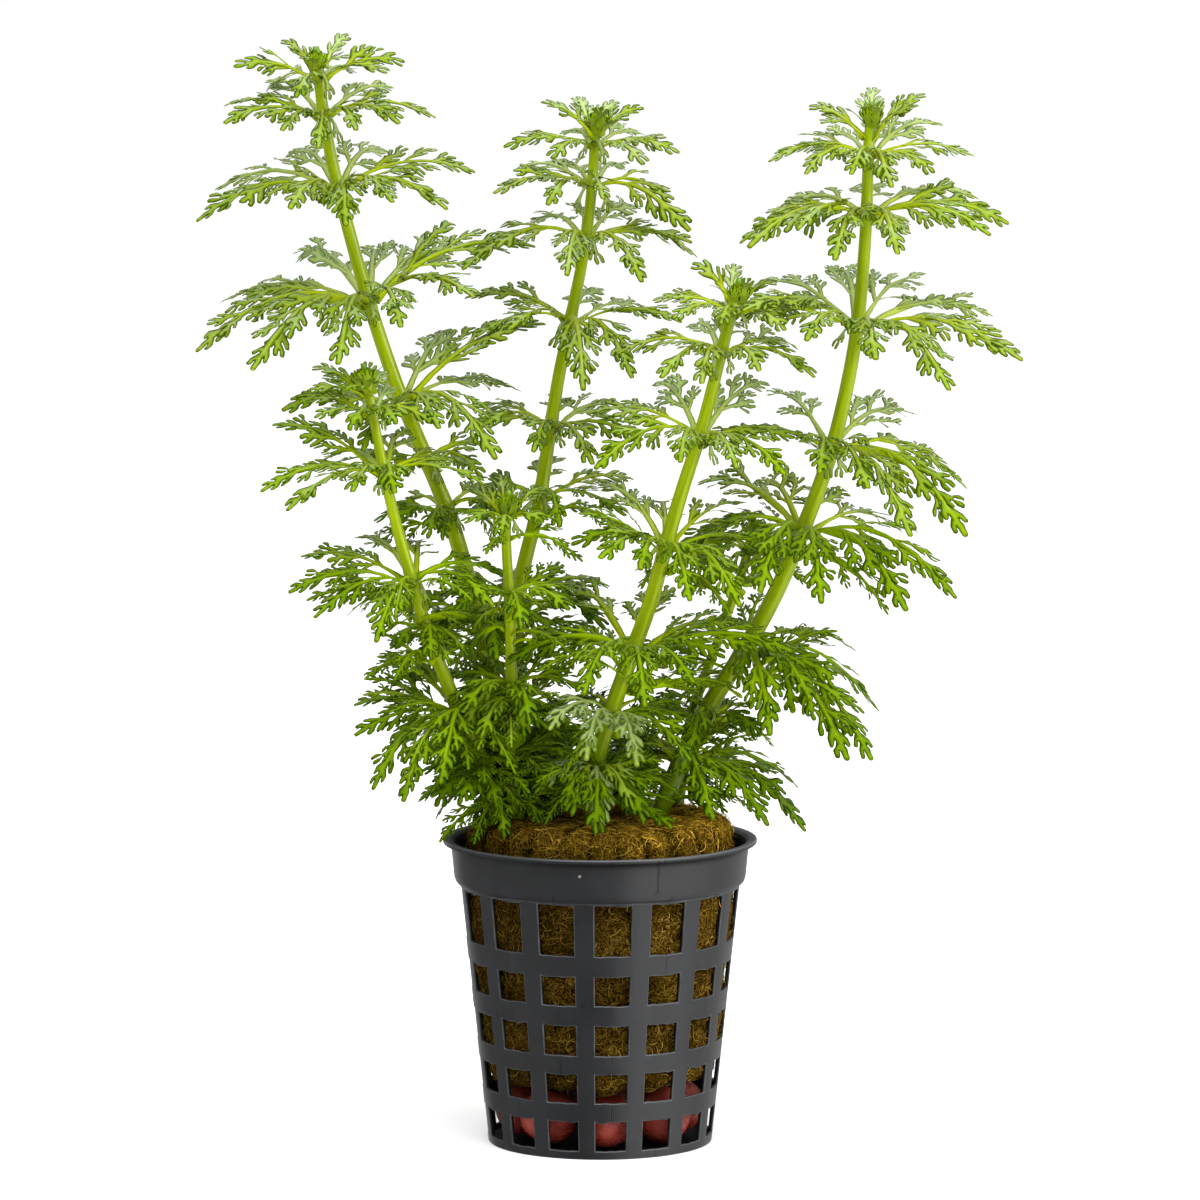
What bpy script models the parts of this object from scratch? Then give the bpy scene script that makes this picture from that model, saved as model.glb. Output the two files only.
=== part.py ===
"""Limnophila heterophylla growing in a slotted net pot.

Seven shoots stand in a plug of rock wool. The plug fills a round plastic net pot and sits on a
layer of baked clay balls. Every shoot is one stem with rings of leaves, the whorls, round it.

The shoots and leaves are drawn the way a plant is drawn in front elevation: how far to the side
and how high over the pot's floor, in millimetres on the plane through the pot's axis, plus how far
behind or in front of that plane. +X is to the right, +Y away from the viewer, +Z up, origin under
the pot.
"""
import math
import random

import bmesh
import bpy
from mathutils import Matrix, Vector
from mathutils.bvhtree import BVHTree

MM = 0.001
GAP = 0.3 * MM              # clearance between neighbouring pieces

# The elevation is seen from this distance and height.
VIEW_DISTANCE = 1200 * MM
EYE_HEIGHT = 230 * MM
FLOOR_LEVEL = 0.5 * MM      # the elevation's heights start here

# Net pot: middle of the wall, from the lip down to the foot (radius, height)
WALL = 0.7 * MM
LIP = (25.7 * MM, 50.35 * MM)
BAND_TOP = (24.2 * MM, 49.2 * MM)
BAND_BOTTOM = (23.65 * MM, 43.5 * MM)
NET_TOP = (22.8 * MM, 43.1 * MM)
FOOT = (18.25 * MM, 0.35 * MM)
COLUMNS = 15
WINDOW_ANGLE = math.radians(15.3)
BAR_ANGLE = 2 * math.pi / COLUMNS - WINDOW_ANGLE
FIRST_WINDOW = math.radians(-90 + 5.4)
WINDOW_ROWS = ((42.8, 34.3), (30.85, 25.95), (22.6, 17.55), (14.4, 9.5), (6.4, 1.4))    # mm, top and bottom

# Rock wool plug: outline from the middle of its crown to the middle of its underside
WOOL_OUTLINE = ((0, 54.8), (14, 54.8), (18.8, 54.1), (20.9, 52.4), (21.5, 49.5), (21.5, 42.5), (18.3, 11.0),
                (0, 11.0))
WOOL_SIDES = 18
POCKET_GAP = 0.66 * MM      # round each stem, to the corners of its six-sided pocket

# Clay balls: one in the middle and a ring round it
BALL_RADII = (4.7, 4.7, 4.5, 4.75, 4.6, 4.75, 4.4, 4.7, 4.55)       # mm
BALL_RING_RADIUS = 13.1 * MM
BALL_FLOOR = 1.0 * MM

# Stems
PLANTED_HEIGHT = 44         # mm, lower end of every stem, in its pocket in the wool
STRAIGHT_HEIGHT = 56        # mm, the stem is straight up to here
LONGEST_PIECE = 17          # mm, longer internodes get one more point
BUD_LENGTH = 3.0            # mm
BUD_SWELL = 1.7             # widest part of the bud over the stem below it

# Whorls
COLLAR_HALF_HEIGHT = 0.8 * MM
COLLAR_THICKNESS = 0.9 * MM
TIER_FACES_MIN = 5
WIDEST_GAP = math.radians(86)       # wider gaps in a whorl get one more leaf
FILL_REACH = 0.86                   # length of such a leaf, over that of the whorl
FILL_SPREAD = (0.90, 1.05)          # how much that length varies
FILL_RISE = (-0.22, 0.06)           # how far its tip falls or rises, over its length
LEAST_DEPTH = 0.22                  # a tip's least distance in front of or behind its node, over its length
SHORT_LEAF = 14 * MM
LEAF_ROLL = math.radians(32)
ARCH = 0.13                         # height of a leaf's arch over its length
BLADE_THICKNESS = 0.7 * MM
BEND_AT = 0.45                      # how far along the leaf its arch pulls
NEAR_STEM = 0.1                     # shares of the first stretch that are left out when a leaf's clearance
PAST_BASE = 0.35                    # is tried, from what is round its whorl and from its whorl's other leaves

# Each shoot: points of the stem (height, side, depth), radius low and high, all in mm
SHOOTS = {
    "a": (((44, -15.0, 2), (56, -15.0, 2), (70, -16.5, 3), (86, -20.0, 4), (100, -23.5, 5), (113, -28.5, 6),
           (128, -34.5, 7), (141, -38.5, 8), (156, -42.5, 8), (168, -45.0, 8), (181, -46.5, 8)), 1.75, 0.95),
    "b": (((44, -12.0, 6), (56, -12.8, 6.5), (70, -13.6, 9), (90, -13.5, 11), (100, -11.0, 12),
           (116, -8.5, 14), (131, -6.0, 15), (142, -3.5, 16), (156, -1.5, 16), (171, -0.5, 16)), 1.6, 0.85),
    "c": (((44, -1.6, -8), (56, -1.0, -8.5), (63, -0.5, -9), (76, 3.5, -11), (90, 8.5, -12), (103, 12.0, -13),
           (119, 17.0, -14), (131, 20.0, -15), (143, 23.0, -15)), 1.6, 0.9),
    "d": (((44, 6.5, 0), (56, 10.5, 0), (63, 13.5, 0), (73, 18.5, 0), (80, 23.0, 0), (93, 30.0, -1),
           (103, 34.0, -1), (116, 38.5, -2), (133, 42.0, -3), (149, 43.5, -3), (163, 44.0, -3),
           (172, 44.5, -3)), 1.75, 0.9),
    "e": (((44, -16.6, -4.5), (56, -17.0, -5.5), (66, -21.0, -8), (80, -27.0, -11), (93, -31.0, -13),
           (106, -34.5, -14), (116, -36.5, -15), (129, -39.0, -15)), 1.5, 0.75),
    "f": (((44, -12.0, -4), (56, -13.8, -6), (73, -14.5, -9), (90, -15.0, -11), (101, -15.5, -12),
           (108, -15.0, -12)), 1.2, 0.8),
    "g": (((44, 10.5, 9), (56, 13.0, 10), (70, 15.0, 13), (80, 18.0, 15), (90, 22.5, 17),
           (104, 25.5, 18)), 1.0, 0.75),
}

# Each whorl of a shoot: tiers of (height, length of its leaves, front leaves, back leaves).
# A leaf is written as (to the side, up) from the node to its tip, in mm as seen in the elevation.
WHORLS = {
    "a": (
        ((175.5, 15, ((-14, 2), (-4, -3), (11, 1)), ((14, 3), (5, 1))),
         (178.0, 7, ((-3, 1), (5, 1)), ((-6, 4), (5, 5)))),
        ((169.4, 18, ((-16, -1), (-7, -2), (-2, -5), (5, -2), (12, -1)),
          ((18, 0), (11, 5), (-9, 6), (-16, 2))),),
        ((157.6, 24, ((-23, -5), (-8, -3), (0, -6), (9, -2)), ((22, 3), (8, 6), (-7, 6), (-20, 0))),),
        ((139.1, 29, ((-28, -8), (-19, -11), (-5, -10), (5, -4), (17, 1)),
          ((27, 9), (15, 10), (2, 8), (-12, 8), (-24, 0))),),
        ((122.4, 25, ((-5, -8), (6, -4), (15, -9)), ((23, 13), (19, 2), (8, 12), (-10, 1))),),
        ((113.0, 13, ((-5, -3), (9, -3)), ((11, 2), (-5, 3))),),
        ((105.0, 14, ((-9, -2), (-3, -5), (10, -1)), ((8, 3), (-6, 1))),),
        ((88.0, 18, ((-9, -8), (4, -8)), ()),),
        ((66.0, 17, ((-9, -6), (5, -6)), ()),),
    ),
    "b": (
        ((164.5, 15, ((-15, 0), (-7, -2), (8, -3), (14, -1)), ((8, 2), (-5, 2))),
         (166.8, 9, ((-3, 2), (4, 2)), ((-9, 5), (-3, 6), (4, 5), (8, 4)))),
        ((158.1, 18, ((-16, -1), (-7, -3), (2, -2), (16, -7)), ((4, 3), (-5, 3), (-12, 3))),),
        ((149.6, 21, ((-20, -5), (-3, -6), (9, -7)), ((18, -3), (8, 5), (0, 4), (-9, 2))),),
        ((135.8, 20, ((-10, -1), (2, -11), (10, -9), (18, 0)), ((13, 2), (4, 5), (-17, 4))),),
        ((118.5, 18, ((-11, 0), (-3, -4), (7, -6), (15, -2)), ((13, 3), (2, 4), (-13, 3))),),
        ((107.0, 18, ((3, -5), (14, -3)), ((15, 3), (3, 6))),),
        ((90.0, 19, ((14, -5), (-3, -6)), ((15, 2),)),),
        ((64.0, 16, ((-4, -4),), ()),),
    ),
    "c": (
        ((137.3, 14, ((-10, -1), (-2, -2), (9, -3)), ((-13, 2), (10, 2))),
         (139.4, 8, (), ((-7, 6), (0, 6), (7, 3)))),
        ((130.8, 18, ((-10, -4), (-3, -5), (6, -3), (15, -4)), ((12, 1), (3, 4), (-5, 4), (-17, 0))),),
        ((116.8, 21, ((-17, -5), (-3, -4), (6, -5), (14, -6)), ((20, -2), (11, 9), (-7, 9), (-18, 4))),),
        ((98.9, 20, ((-11, -2), (-4, -4), (4, -9), (12, -10)), ((20, -2), (13, 7), (-1, 7), (-11, 10))),),
        ((81.2, 26, ((-8, -7), (2, -9), (10, -5), (26, 0)), ((22, 4), (5, 9), (-12, 10))),),
        ((71.3, 17, ((-10, -3), (-4, -8), (4, -9), (13, -8)), ((11, -1),)),),
        ((61.5, 13, ((-10, -4), (-5, -6), (0, -11), (8, -9)), ((-10, 3),)),),
    ),
    "d": (
        ((163.2, 17, ((-16, -1), (-10, -3), (-3, -3), (4, -5)), ((17, 0), (12, 5), (4, 4), (-6, 3))),
         (167.3, 11, ((-8, 1), (8, 4)), ((-10, 4), (1, 7), (9, 6)))),
        ((153.2, 23, ((-19, -5), (-11, -2), (-5, -7), (5, -6), (20, -3)),
          ((23, -1), (18, 3), (2, 4), (-14, 1))),),
        ((134.8, 28, ((-19, 3), (-8, -2), (3, -5), (15, -10), (27, -5)),
          ((22, 2), (10, 7), (-3, 9), (-17, 7))),),
        ((114.7, 26, ((-8, -8), (4, -5), (13, -14), (22, -14)), ((22, -6), (13, 6), (-10, 9))),),
        ((101.3, 26, ((-7, -10), (2, -12), (17, -13), (25, -11)), ((16, 0), (4, 6), (-7, 8), (-17, 8))),),
        ((81.5, 24, ((4, -14), (11, -9), (17, -18), (21, -18)), ((22, -10), (18, 0))),),
        ((71.5, 12, ((-3, -8), (9, -4)), ((9, 0),)),),
        ((63.5, 21, ((5, -10), (14, -11), (20, -12)), ((19, -5), (10, 4))),),
    ),
    "e": (
        ((120.9, 12, ((-4, -3), (4, -2)), ((-11, 2), (-4, 3), (3, 4))),
         (125.4, 10, ((-10, -1), (-4, -1), (3, 0)), ((-9, 3), (3, 2)))),
        ((110.9, 20, ((-20, -3), (-16, -6), (-5, -3), (2, -4)), ((-18, 8), (-10, 2), (3, 6))),),
        ((93.1, 20, ((-20, -2), (-16, -6), (-6, -10)), ((-18, 4), (-9, 7), (1, 6))),),
        ((85.8, 10, ((-5, -4), (1, -6)), ((6, -2),)),),
        ((71.5, 18, ((-17, -4), (-14, -13), (-9, -15), (-3, -12)), ((-17, 1), (-13, 9), (-7, 7))),),
        ((62.3, 12, ((-8, -7), (-2, -6)), ((-9, -1),)),),
    ),
    "f": (
        ((103.5, 10, ((-7, -1), (-1, -3), (6, -1)), ((-7, 5), (-1, 7), (6, 5))),),
        ((91.0, 14, ((-9, -3), (2, -6), (10, -3)), ()),),
        ((76.0, 15, ((-8, -5), (3, -7)), ()),),
    ),
    "g": (
        ((98.0, 13, ((-8, -3), (7, -4)), ((7, 3),)),),
    ),
}

# Looks: base colour, roughness
PLASTIC = ("charcoal plastic", (0.052, 0.055, 0.062), 0.42)
WOOL = ("rock wool", (0.300, 0.190, 0.060), 0.95)
CLAY = ("baked clay", (0.400, 0.110, 0.055), 0.60)
STEM_GREEN = ("stem green", (0.370, 0.480, 0.030), 0.40)
LEAF_GREEN = ("leaf green", (0.160, 0.330, 0.055), 0.45)


def empty_scene():
    """Remove whatever the file opened with."""
    for old in list(bpy.data.objects):
        bpy.data.objects.remove(old, do_unlink=True)


def new_collection(name):
    """Add a collection to the scene."""
    collection = bpy.data.collections.new(name)
    bpy.context.scene.collection.children.link(collection)
    return collection


def material(look):
    """Return the material of a look, made the first time it is asked for."""
    name, color, roughness = look
    found = bpy.data.materials.get(name)
    if found:
        return found
    made = bpy.data.materials.new(name)
    made.use_nodes = True
    shader = made.node_tree.nodes["Principled BSDF"]
    shader.inputs["Base Color"].default_value = (*color, 1)
    shader.inputs["Roughness"].default_value = roughness
    made.diffuse_color = (*color, 1)
    return made


def add_object(name, data, collection, look):
    """Link an object with its material."""
    made = bpy.data.objects.new(name, data)
    data.materials.append(material(look))
    collection.objects.link(made)
    return made


def mesh_object(name, shape, collection, look):
    """Turn a bmesh into an object."""
    data = bpy.data.meshes.new(name)
    shape.to_mesh(data)
    shape.free()
    return add_object(name, data, collection, look)


def elevation_place(side, height, depth):
    """Real place, in metres, of a point read off the elevation in mm and lying at a depth in metres."""
    scale = 1 + depth / VIEW_DISTANCE
    return Vector((side * MM * scale, depth, FLOOR_LEVEL + EYE_HEIGHT + (height * MM - EYE_HEIGHT) * scale))


def smooth_value(knots, values, at):
    """Read a smooth curve through (knot, value) points, whose knots rise."""
    last = len(knots) - 1
    span = next((i for i in range(last) if at <= knots[i + 1]), last - 1)

    def slope(i):
        low, high = max(i - 1, 0), min(i + 1, last)
        return (values[high] - values[low]) / (knots[high] - knots[low])

    width = knots[span + 1] - knots[span]
    t = (at - knots[span]) / width
    return ((2 * t**3 - 3 * t**2 + 1) * values[span] + (t**3 - 2 * t**2 + t) * width * slope(span)
            + (3 * t**2 - 2 * t**3) * values[span + 1] + (t**3 - t**2) * width * slope(span + 1))


def stem_place(shoot, height):
    """Centre of a shoot's stem at a height of the elevation."""
    points = SHOOTS[shoot][0]
    heights = [point[0] for point in points]
    if height <= STRAIGHT_HEIGHT:
        low, high = points[0], points[1]
        part = (height - low[0]) / (high[0] - low[0])
        side, depth = (low[i] + (high[i] - low[i]) * part for i in (1, 2))
    else:
        side, depth = (smooth_value(heights, [point[i] for point in points], height) for i in (1, 2))
    return elevation_place(side, height, depth * MM)


def stem_radius(shoot, height):
    """Radius of a shoot's stem at a height, tapering evenly."""
    points, low_radius, high_radius = SHOOTS[shoot]
    part = (height - points[0][0]) / (points[-1][0] - points[0][0])
    return (low_radius + (high_radius - low_radius) * part) * MM


def stem_heights(shoot):
    """Heights of the points of a stem: its ends, its nodes and the middles of long internodes."""
    top = SHOOTS[shoot][0][-1][0]
    nodes = sorted(tier[0] for whorl in WHORLS[shoot] for tier in whorl)
    marks = [PLANTED_HEIGHT, STRAIGHT_HEIGHT, *nodes, top - BUD_LENGTH / 2, top]
    marks = [h for i, h in enumerate(marks) if i == 0 or h - marks[i - 1] > 1]
    filled = [marks[0]]
    for height in marks[1:]:
        steps = math.ceil((height - filled[-1]) / LONGEST_PIECE)
        start = filled[-1]
        filled += [start + (height - start) * step / steps for step in range(1, steps + 1)]
    return filled


def build_stem(shoot, collection):
    """A tapered tube through the nodes that ends in a swollen bud."""
    curve = bpy.data.curves.new(f"shoot_{shoot}_stem", "CURVE")
    curve.dimensions = "3D"
    curve.bevel_depth = 1
    curve.bevel_resolution = 1
    curve.use_fill_caps = True
    heights = stem_heights(shoot)
    spline = curve.splines.new("POLY")
    spline.points.add(len(heights) - 1)
    top = heights[-1]
    for point, height in zip(spline.points, heights):
        point.co = (*stem_place(shoot, height), 1)
        swell = BUD_SWELL if top - BUD_LENGTH < height < top else 1
        point.radius = stem_radius(shoot, height) * swell
    return add_object(f"shoot_{shoot}_stem", curve, collection, STEM_GREEN)


def row_heights():
    """Heights of the edges of the net's rows, from the top down."""
    edges = [NET_TOP[1]]
    for high, low in WINDOW_ROWS:
        edges += [high * MM, low * MM]
    return edges + [FOOT[1]]


def build_net_pot(collection):
    """An open shell of windows and bars under a solid band and lip, thickened to the wall."""
    edges = row_heights()
    drop = NET_TOP[1] - FOOT[1]
    profile = [LIP, BAND_TOP, BAND_BOTTOM]
    profile += [(FOOT[0] + (NET_TOP[0] - FOOT[0]) * (z - FOOT[1]) / drop, z) for z in edges]
    angles = []
    for column in range(COLUMNS):
        start = FIRST_WINDOW + column * (WINDOW_ANGLE + BAR_ANGLE) - WINDOW_ANGLE / 2
        angles += [start, start + WINDOW_ANGLE]
    shell = bmesh.new()
    rings = [[shell.verts.new((radius * math.cos(a), radius * math.sin(a), z)) for a in angles]
             for radius, z in profile]
    first_net_ring = 3
    window_rings = {first_net_ring + 1 + 2 * row for row in range(len(WINDOW_ROWS))}
    for index, (upper, lower) in enumerate(zip(rings, rings[1:])):
        for column in range(len(angles)):
            is_window = index in window_rings and column % 2 == 0
            after = (column + 1) % len(angles)
            if not is_window:
                shell.faces.new((upper[column], lower[column], lower[after], upper[after]))
    shell.faces.new(list(reversed(rings[-1])))
    pot = mesh_object("net_pot", shell, collection, PLASTIC)
    thicken = pot.modifiers.new("wall", "SOLIDIFY")
    thicken.thickness = WALL
    thicken.offset = 0
    thicken.use_even_offset = True
    return pot


def build_wool(collection, cutters):
    """A turned plug with a pocket for every stem."""
    outline = bpy.data.meshes.new("rock_wool")
    points = [(radius * MM, 0, z * MM) for radius, z in WOOL_OUTLINE]
    outline.from_pydata(points, [(i, i + 1) for i in range(len(points) - 1)], [])
    wool = add_object("rock_wool", outline, collection, WOOL)
    turn = wool.modifiers.new("turn", "SCREW")
    turn.steps = WOOL_SIDES
    turn.render_steps = WOOL_SIDES
    turn.use_merge_vertices = True
    turn.merge_threshold = 1e-5
    for shoot in SHOOTS:
        low, high = (stem_place(shoot, h) for h in (PLANTED_HEIGHT, STRAIGHT_HEIGHT))
        along = (high - low).normalized()
        low -= along * 2 * GAP
        radius = stem_radius(shoot, PLANTED_HEIGHT) + POCKET_GAP
        bpy.ops.mesh.primitive_cylinder_add(vertices=6, radius=radius, depth=(high - low).length)
        cutter = bpy.context.object
        cutter.name = f"pocket_{shoot}"
        tilt = along.to_track_quat("Z", "Y").to_matrix().to_4x4()
        cutter.matrix_world = Matrix.Translation((low + high) / 2) @ tilt
        cutter.hide_render = True
        cutter.display_type = "WIRE"
        bpy.context.collection.objects.unlink(cutter)
        cutters.objects.link(cutter)
        cut = wool.modifiers.new(cutter.name, "BOOLEAN")
        cut.operation = "DIFFERENCE"
        cut.object = cutter
    return wool


def build_clay_balls(collection):
    """One ball in the middle of the pot's floor and a ring of them round it."""
    around = len(BALL_RADII) - 1
    for index, radius in enumerate(BALL_RADII):
        angle = 2 * math.pi * index / around + FIRST_WINDOW
        from_axis = BALL_RING_RADIUS if index else 0
        shape = bmesh.new()
        bmesh.ops.create_uvsphere(shape, u_segments=8, v_segments=4, radius=radius * MM)
        ball = mesh_object(f"clay_ball_{index + 1}", shape, collection, CLAY)
        ball.location = (from_axis * math.cos(angle), from_axis * math.sin(angle), BALL_FLOOR + radius * MM)


class Leaf:
    """A leaf's place in its whorl: where its tip is and how it bends on the way there."""

    def __init__(self, tier, node, tip, drawn):
        self.tier = tier
        self.node = node
        self.tip = tip
        self.drawn = drawn          # False for a leaf that only fills a gap
        away = tip - node
        self.azimuth = math.atan2(away.y, away.x) % (2 * math.pi)
        self.face = None
        self.rings = None

    def stations(self, base, tip, margin=0.0):
        """Sections from the base to the tip, grown by a margin, and the tip.

        A section is a flat blade over a keel: its four corners are the keel twice, the right
        edge and the left edge.
        """
        length = (tip - base).length
        droop = max(0.0, base.z - tip.z)
        control = base.lerp(tip, BEND_AT) + Vector((0, 0, 2 * ARCH * length + 0.35 * droop))
        heading = Vector((tip.x - base.x, tip.y - base.y, 0)).normalized()
        if length < SHORT_LEAF:
            widths = ((0.55, 0.26 * length),)
        else:
            widths = ((0.38, 1.3 * MM + 0.05 * length), (0.66, 0.30 * length))
        rings = []
        for t, width in widths:
            centre = (1 - t) ** 2 * base + 2 * t * (1 - t) * control + t**2 * tip
            along = (2 * (1 - t) * (control - base) + 2 * t * (tip - control)).normalized()
            across = Vector((-heading.y, heading.x, 0))
            above = along.cross(across).normalized()
            turn = Matrix.Rotation(LEAF_ROLL * across.y, 3, along)
            across, above = turn @ across, turn @ above
            half_width = width / 2 + margin
            half_thick = BLADE_THICKNESS / 2 + margin
            rings.append([centre + across * half_width * x + above * half_thick * z
                          for x, z in ((0, -1), (0, -1), (1, 1), (-1, 1))])
        return rings, tip


def gap_filled(leaves, reach, node, dice):
    """Add leaves where a tier's drawn leaves leave a wide gap, so that it goes all round the stem."""
    leaves = sorted(leaves, key=lambda leaf: leaf.azimuth)
    while True:
        turns = [(leaves[(i + 1) % len(leaves)].azimuth - leaf.azimuth) % (2 * math.pi) or 2 * math.pi
                 for i, leaf in enumerate(leaves)]
        widest = max(range(len(leaves)), key=lambda i: turns[i])
        if turns[widest] < WIDEST_GAP:
            return leaves
        azimuth = leaves[widest].azimuth + turns[widest] * dice.uniform(0.46, 0.54)
        if turns[widest] > 2 * WIDEST_GAP:
            azimuth = leaves[widest].azimuth + turns[widest] / math.ceil(turns[widest] / WIDEST_GAP)
        length = reach * FILL_REACH * dice.uniform(*FILL_SPREAD)
        out = Vector((math.cos(azimuth), math.sin(azimuth), dice.uniform(*FILL_RISE))) * length
        leaves.insert(widest + 1, Leaf(leaves[0].tier, node, node + out, False))


def whorl_leaves(shoot, whorl, dice):
    """All leaves of a whorl, tier by tier, the drawn ones and the fillers."""
    tiers = []
    for tier, (height, reach, front, back) in enumerate(whorl):
        node = stem_place(shoot, height)
        seen_side = node.x / MM / (1 + node.y / VIEW_DISTANCE)
        leaves = []
        for sign, tips in ((-1, front), (1, back)):
            for side, rise in tips:
                depth = max(math.sqrt(max(reach**2 - side**2, 0)), LEAST_DEPTH * reach) * MM
                tip = elevation_place(seen_side + side, height + rise, node.y + sign * depth)
                leaves.append(Leaf(tier, node, tip, True))
        if tier == 0:
            leaves = gap_filled(leaves, reach * MM, node, dice)
        tiers.append(sorted(leaves, key=lambda leaf: leaf.azimuth))
    return tiers


def share_faces(leaves, row):
    """Give every leaf of a tier, in order round the stem, a collar face of its own."""
    if len(leaves) == len(row):
        for leaf, face in zip(leaves, row):
            leaf.face = face
        return
    free = list(row)
    for leaf in leaves:
        away = leaf.tip - leaf.node
        away.z = 0
        away.normalize()
        leaf.face = max(free, key=lambda face: (face.calc_center_median() - leaf.node).normalized().dot(away))
        free.remove(leaf.face)


def start_angle(leaves, faces):
    """Turn of a collar with so many faces that brings its faces nearest to the leaves."""
    step = 2 * math.pi / faces
    lean_x = sum(math.cos(leaf.azimuth - i * step) for i, leaf in enumerate(leaves))
    lean_y = sum(math.sin(leaf.azimuth - i * step) for i, leaf in enumerate(leaves))
    return math.atan2(lean_y, lean_x)


def build_collar(shoot, whorl, tiers):
    """The sheath of leaf bases round the stem, one outer face for every leaf.

    Returns the bmesh and, for every tier, its outer faces in order round the stem.
    """
    faces = max(TIER_FACES_MIN, *(len(leaves) for leaves in tiers))
    turn = start_angle(tiers[0], faces) - math.pi / faces
    low, high = whorl[0][0], whorl[-1][0]
    inner = (stem_radius(shoot, low) + GAP) / math.cos(math.pi / faces)
    outer = inner + COLLAR_THICKNESS
    axis = (stem_place(shoot, high + 1) - stem_place(shoot, low - 1)).normalized()
    shape = bmesh.new()

    def ring(height, lift, radius):
        centre = stem_place(shoot, height) + axis * lift
        frame = Vector((0, 0, 1)).rotation_difference(axis).to_matrix()
        angles = [turn + 2 * math.pi * i / faces for i in range(faces)]
        return [shape.verts.new(centre + frame @ Vector((radius * math.cos(a), radius * math.sin(a), 0)))
                for a in angles]

    levels = []
    for tier, (height, *_) in enumerate(whorl):
        if tier == 0:
            levels.append(ring(height, -COLLAR_HALF_HEIGHT, outer))
        levels.append(ring(height, COLLAR_HALF_HEIGHT, outer))
    middle = (low + high) / 2
    inside = [ring(middle, 0, inner)] if len(whorl) == 1 else [ring(low, 0, inner), ring(high, 0, inner)]
    loop = [*levels, *reversed(inside)]
    outer_faces = []
    for index, (one, two) in enumerate(zip(loop, loop[1:] + loop[:1])):
        row = [shape.faces.new((one[i], one[(i + 1) % faces], two[(i + 1) % faces], two[i]))
               for i in range(faces)]
        if index < len(levels) - 1:
            outer_faces.append(row)
    return shape, outer_faces


def tree_of(points, faces):
    """Search tree of a surface and the box round it."""
    tree = BVHTree.FromPolygons(points, faces)
    low = Vector([min(v[i] for v in points) for i in range(3)])
    high = Vector([max(v[i] for v in points) for i in range(3)])
    return tree, low, high


def tree_of_object(thing):
    """Search tree of an object's evaluated surface."""
    evaluated = thing.evaluated_get(bpy.context.evaluated_depsgraph_get())
    data = evaluated.to_mesh()
    found = tree_of([thing.matrix_world @ v.co for v in data.vertices],
                    [tuple(p.vertices) for p in data.polygons])
    evaluated.to_mesh_clear()
    return found


def meets(one, other):
    """Whether two surfaces cross."""
    tree, low, high = one
    other_tree, other_low, other_high = other
    if any(low[i] > other_high[i] or high[i] < other_low[i] for i in range(3)):
        return False
    return bool(tree.overlap(other_tree))


def leaf_surface(start, rings, tip):
    """Corners and faces of a leaf from its first section to its tip."""
    sections = [start, *rings]
    corners = [corner for section in sections for corner in section] + [tip]
    faces = []
    for index in range(len(sections) - 1):
        a, b = 4 * index, 4 * index + 4
        for i in range(4):
            j = (i + 1) % 4
            faces += [(a + i, a + j, b + j), (a + i, b + j, b + i)]
    a = 4 * (len(sections) - 1)
    faces += [(a + i, a + (i + 1) % 4, len(corners) - 1) for i in range(4)]
    return corners, faces


def face_corners(face, node):
    """Corners of a collar face as (low left, low right, high right, high left), seen from outside."""
    centre = face.calc_center_median()
    out = (centre - node)
    out.z = 0
    across = Vector((-out.y, out.x, 0)).normalized()
    ranked = sorted(face.verts, key=lambda v: (v.co - centre).z)
    low = sorted(ranked[:2], key=lambda v: (v.co - centre).dot(across))
    high = sorted(ranked[2:], key=lambda v: (v.co - centre).dot(across))
    return [low[0], low[1], high[1], high[0]]


def moved_tips(leaf):
    """Places to try for a leaf's tip: its own, then turned, lifted or drawn in a little further each time."""
    away = leaf.tip - leaf.node
    yield leaf.tip
    for size in (1, 2, 3, 4, 5, 6, 7, 8):
        for turn, lift in ((1, 0), (-1, 0), (0, 1), (0, -1), (1, 1), (-1, 1), (1, -1), (-1, -1)):
            spun = Matrix.Rotation(math.radians(2.5) * turn * size, 3, "Z") @ away
            yield leaf.node + spun * (1 - 0.02 * size) + Vector((0, 0, 0.7 * MM * lift * size))


def part_way(corners, section, part):
    """A section part of the way from the collar's corners to the leaf's next section."""
    return [corner.co.lerp(point, part) for corner, point in zip(corners, section)]


def place_leaf(leaf, corners, obstacles, siblings):
    """Choose the leaf's tip so that it stays clear of everything placed before it.

    Returns search trees of the leaf past its base and of the whole leaf, or None if it fits nowhere.
    """
    base = sum((corner.co for corner in corners), Vector()) / 4
    for tip in moved_tips(leaf):
        rings, tip = leaf.stations(base, tip)
        wide_rings, _ = leaf.stations(base, tip, GAP)
        near_start = part_way(corners, wide_rings[0], NEAR_STEM)
        whole = tree_of(*leaf_surface(near_start, wide_rings, tip))
        if any(meets(whole, obstacle) for obstacle in obstacles):
            continue
        outer = tree_of(*leaf_surface(part_way(corners, wide_rings[0], PAST_BASE), wide_rings, tip))
        if any(meets(outer, sibling) for sibling in siblings):
            continue
        leaf.rings = rings, tip
        starts = part_way(corners, rings[0], PAST_BASE), part_way(corners, rings[0], 0)
        return [tree_of(*leaf_surface(start, rings, tip)) for start in starts]
    return None


def grow_leaf(shape, face, leaf):
    """Pull a collar face out section by section to the leaf's tip."""
    rings, tip = leaf.rings
    corners = face_corners(face, leaf.node)
    for targets in [*rings, None]:
        order = {vert: i for i, vert in enumerate(corners)}
        slots = [order[vert] for vert in face.verts]
        grown = bmesh.ops.extrude_discrete_faces(shape, faces=[face])["faces"]
        face = grown[0]
        corners = [None] * 4
        for vert, slot in zip(face.verts, slots):
            corners[slot] = vert
        if targets is None:
            bmesh.ops.pointmerge(shape, verts=corners, merge_co=tip)
        else:
            for vert, target in zip(corners, targets):
                vert.co = target


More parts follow.
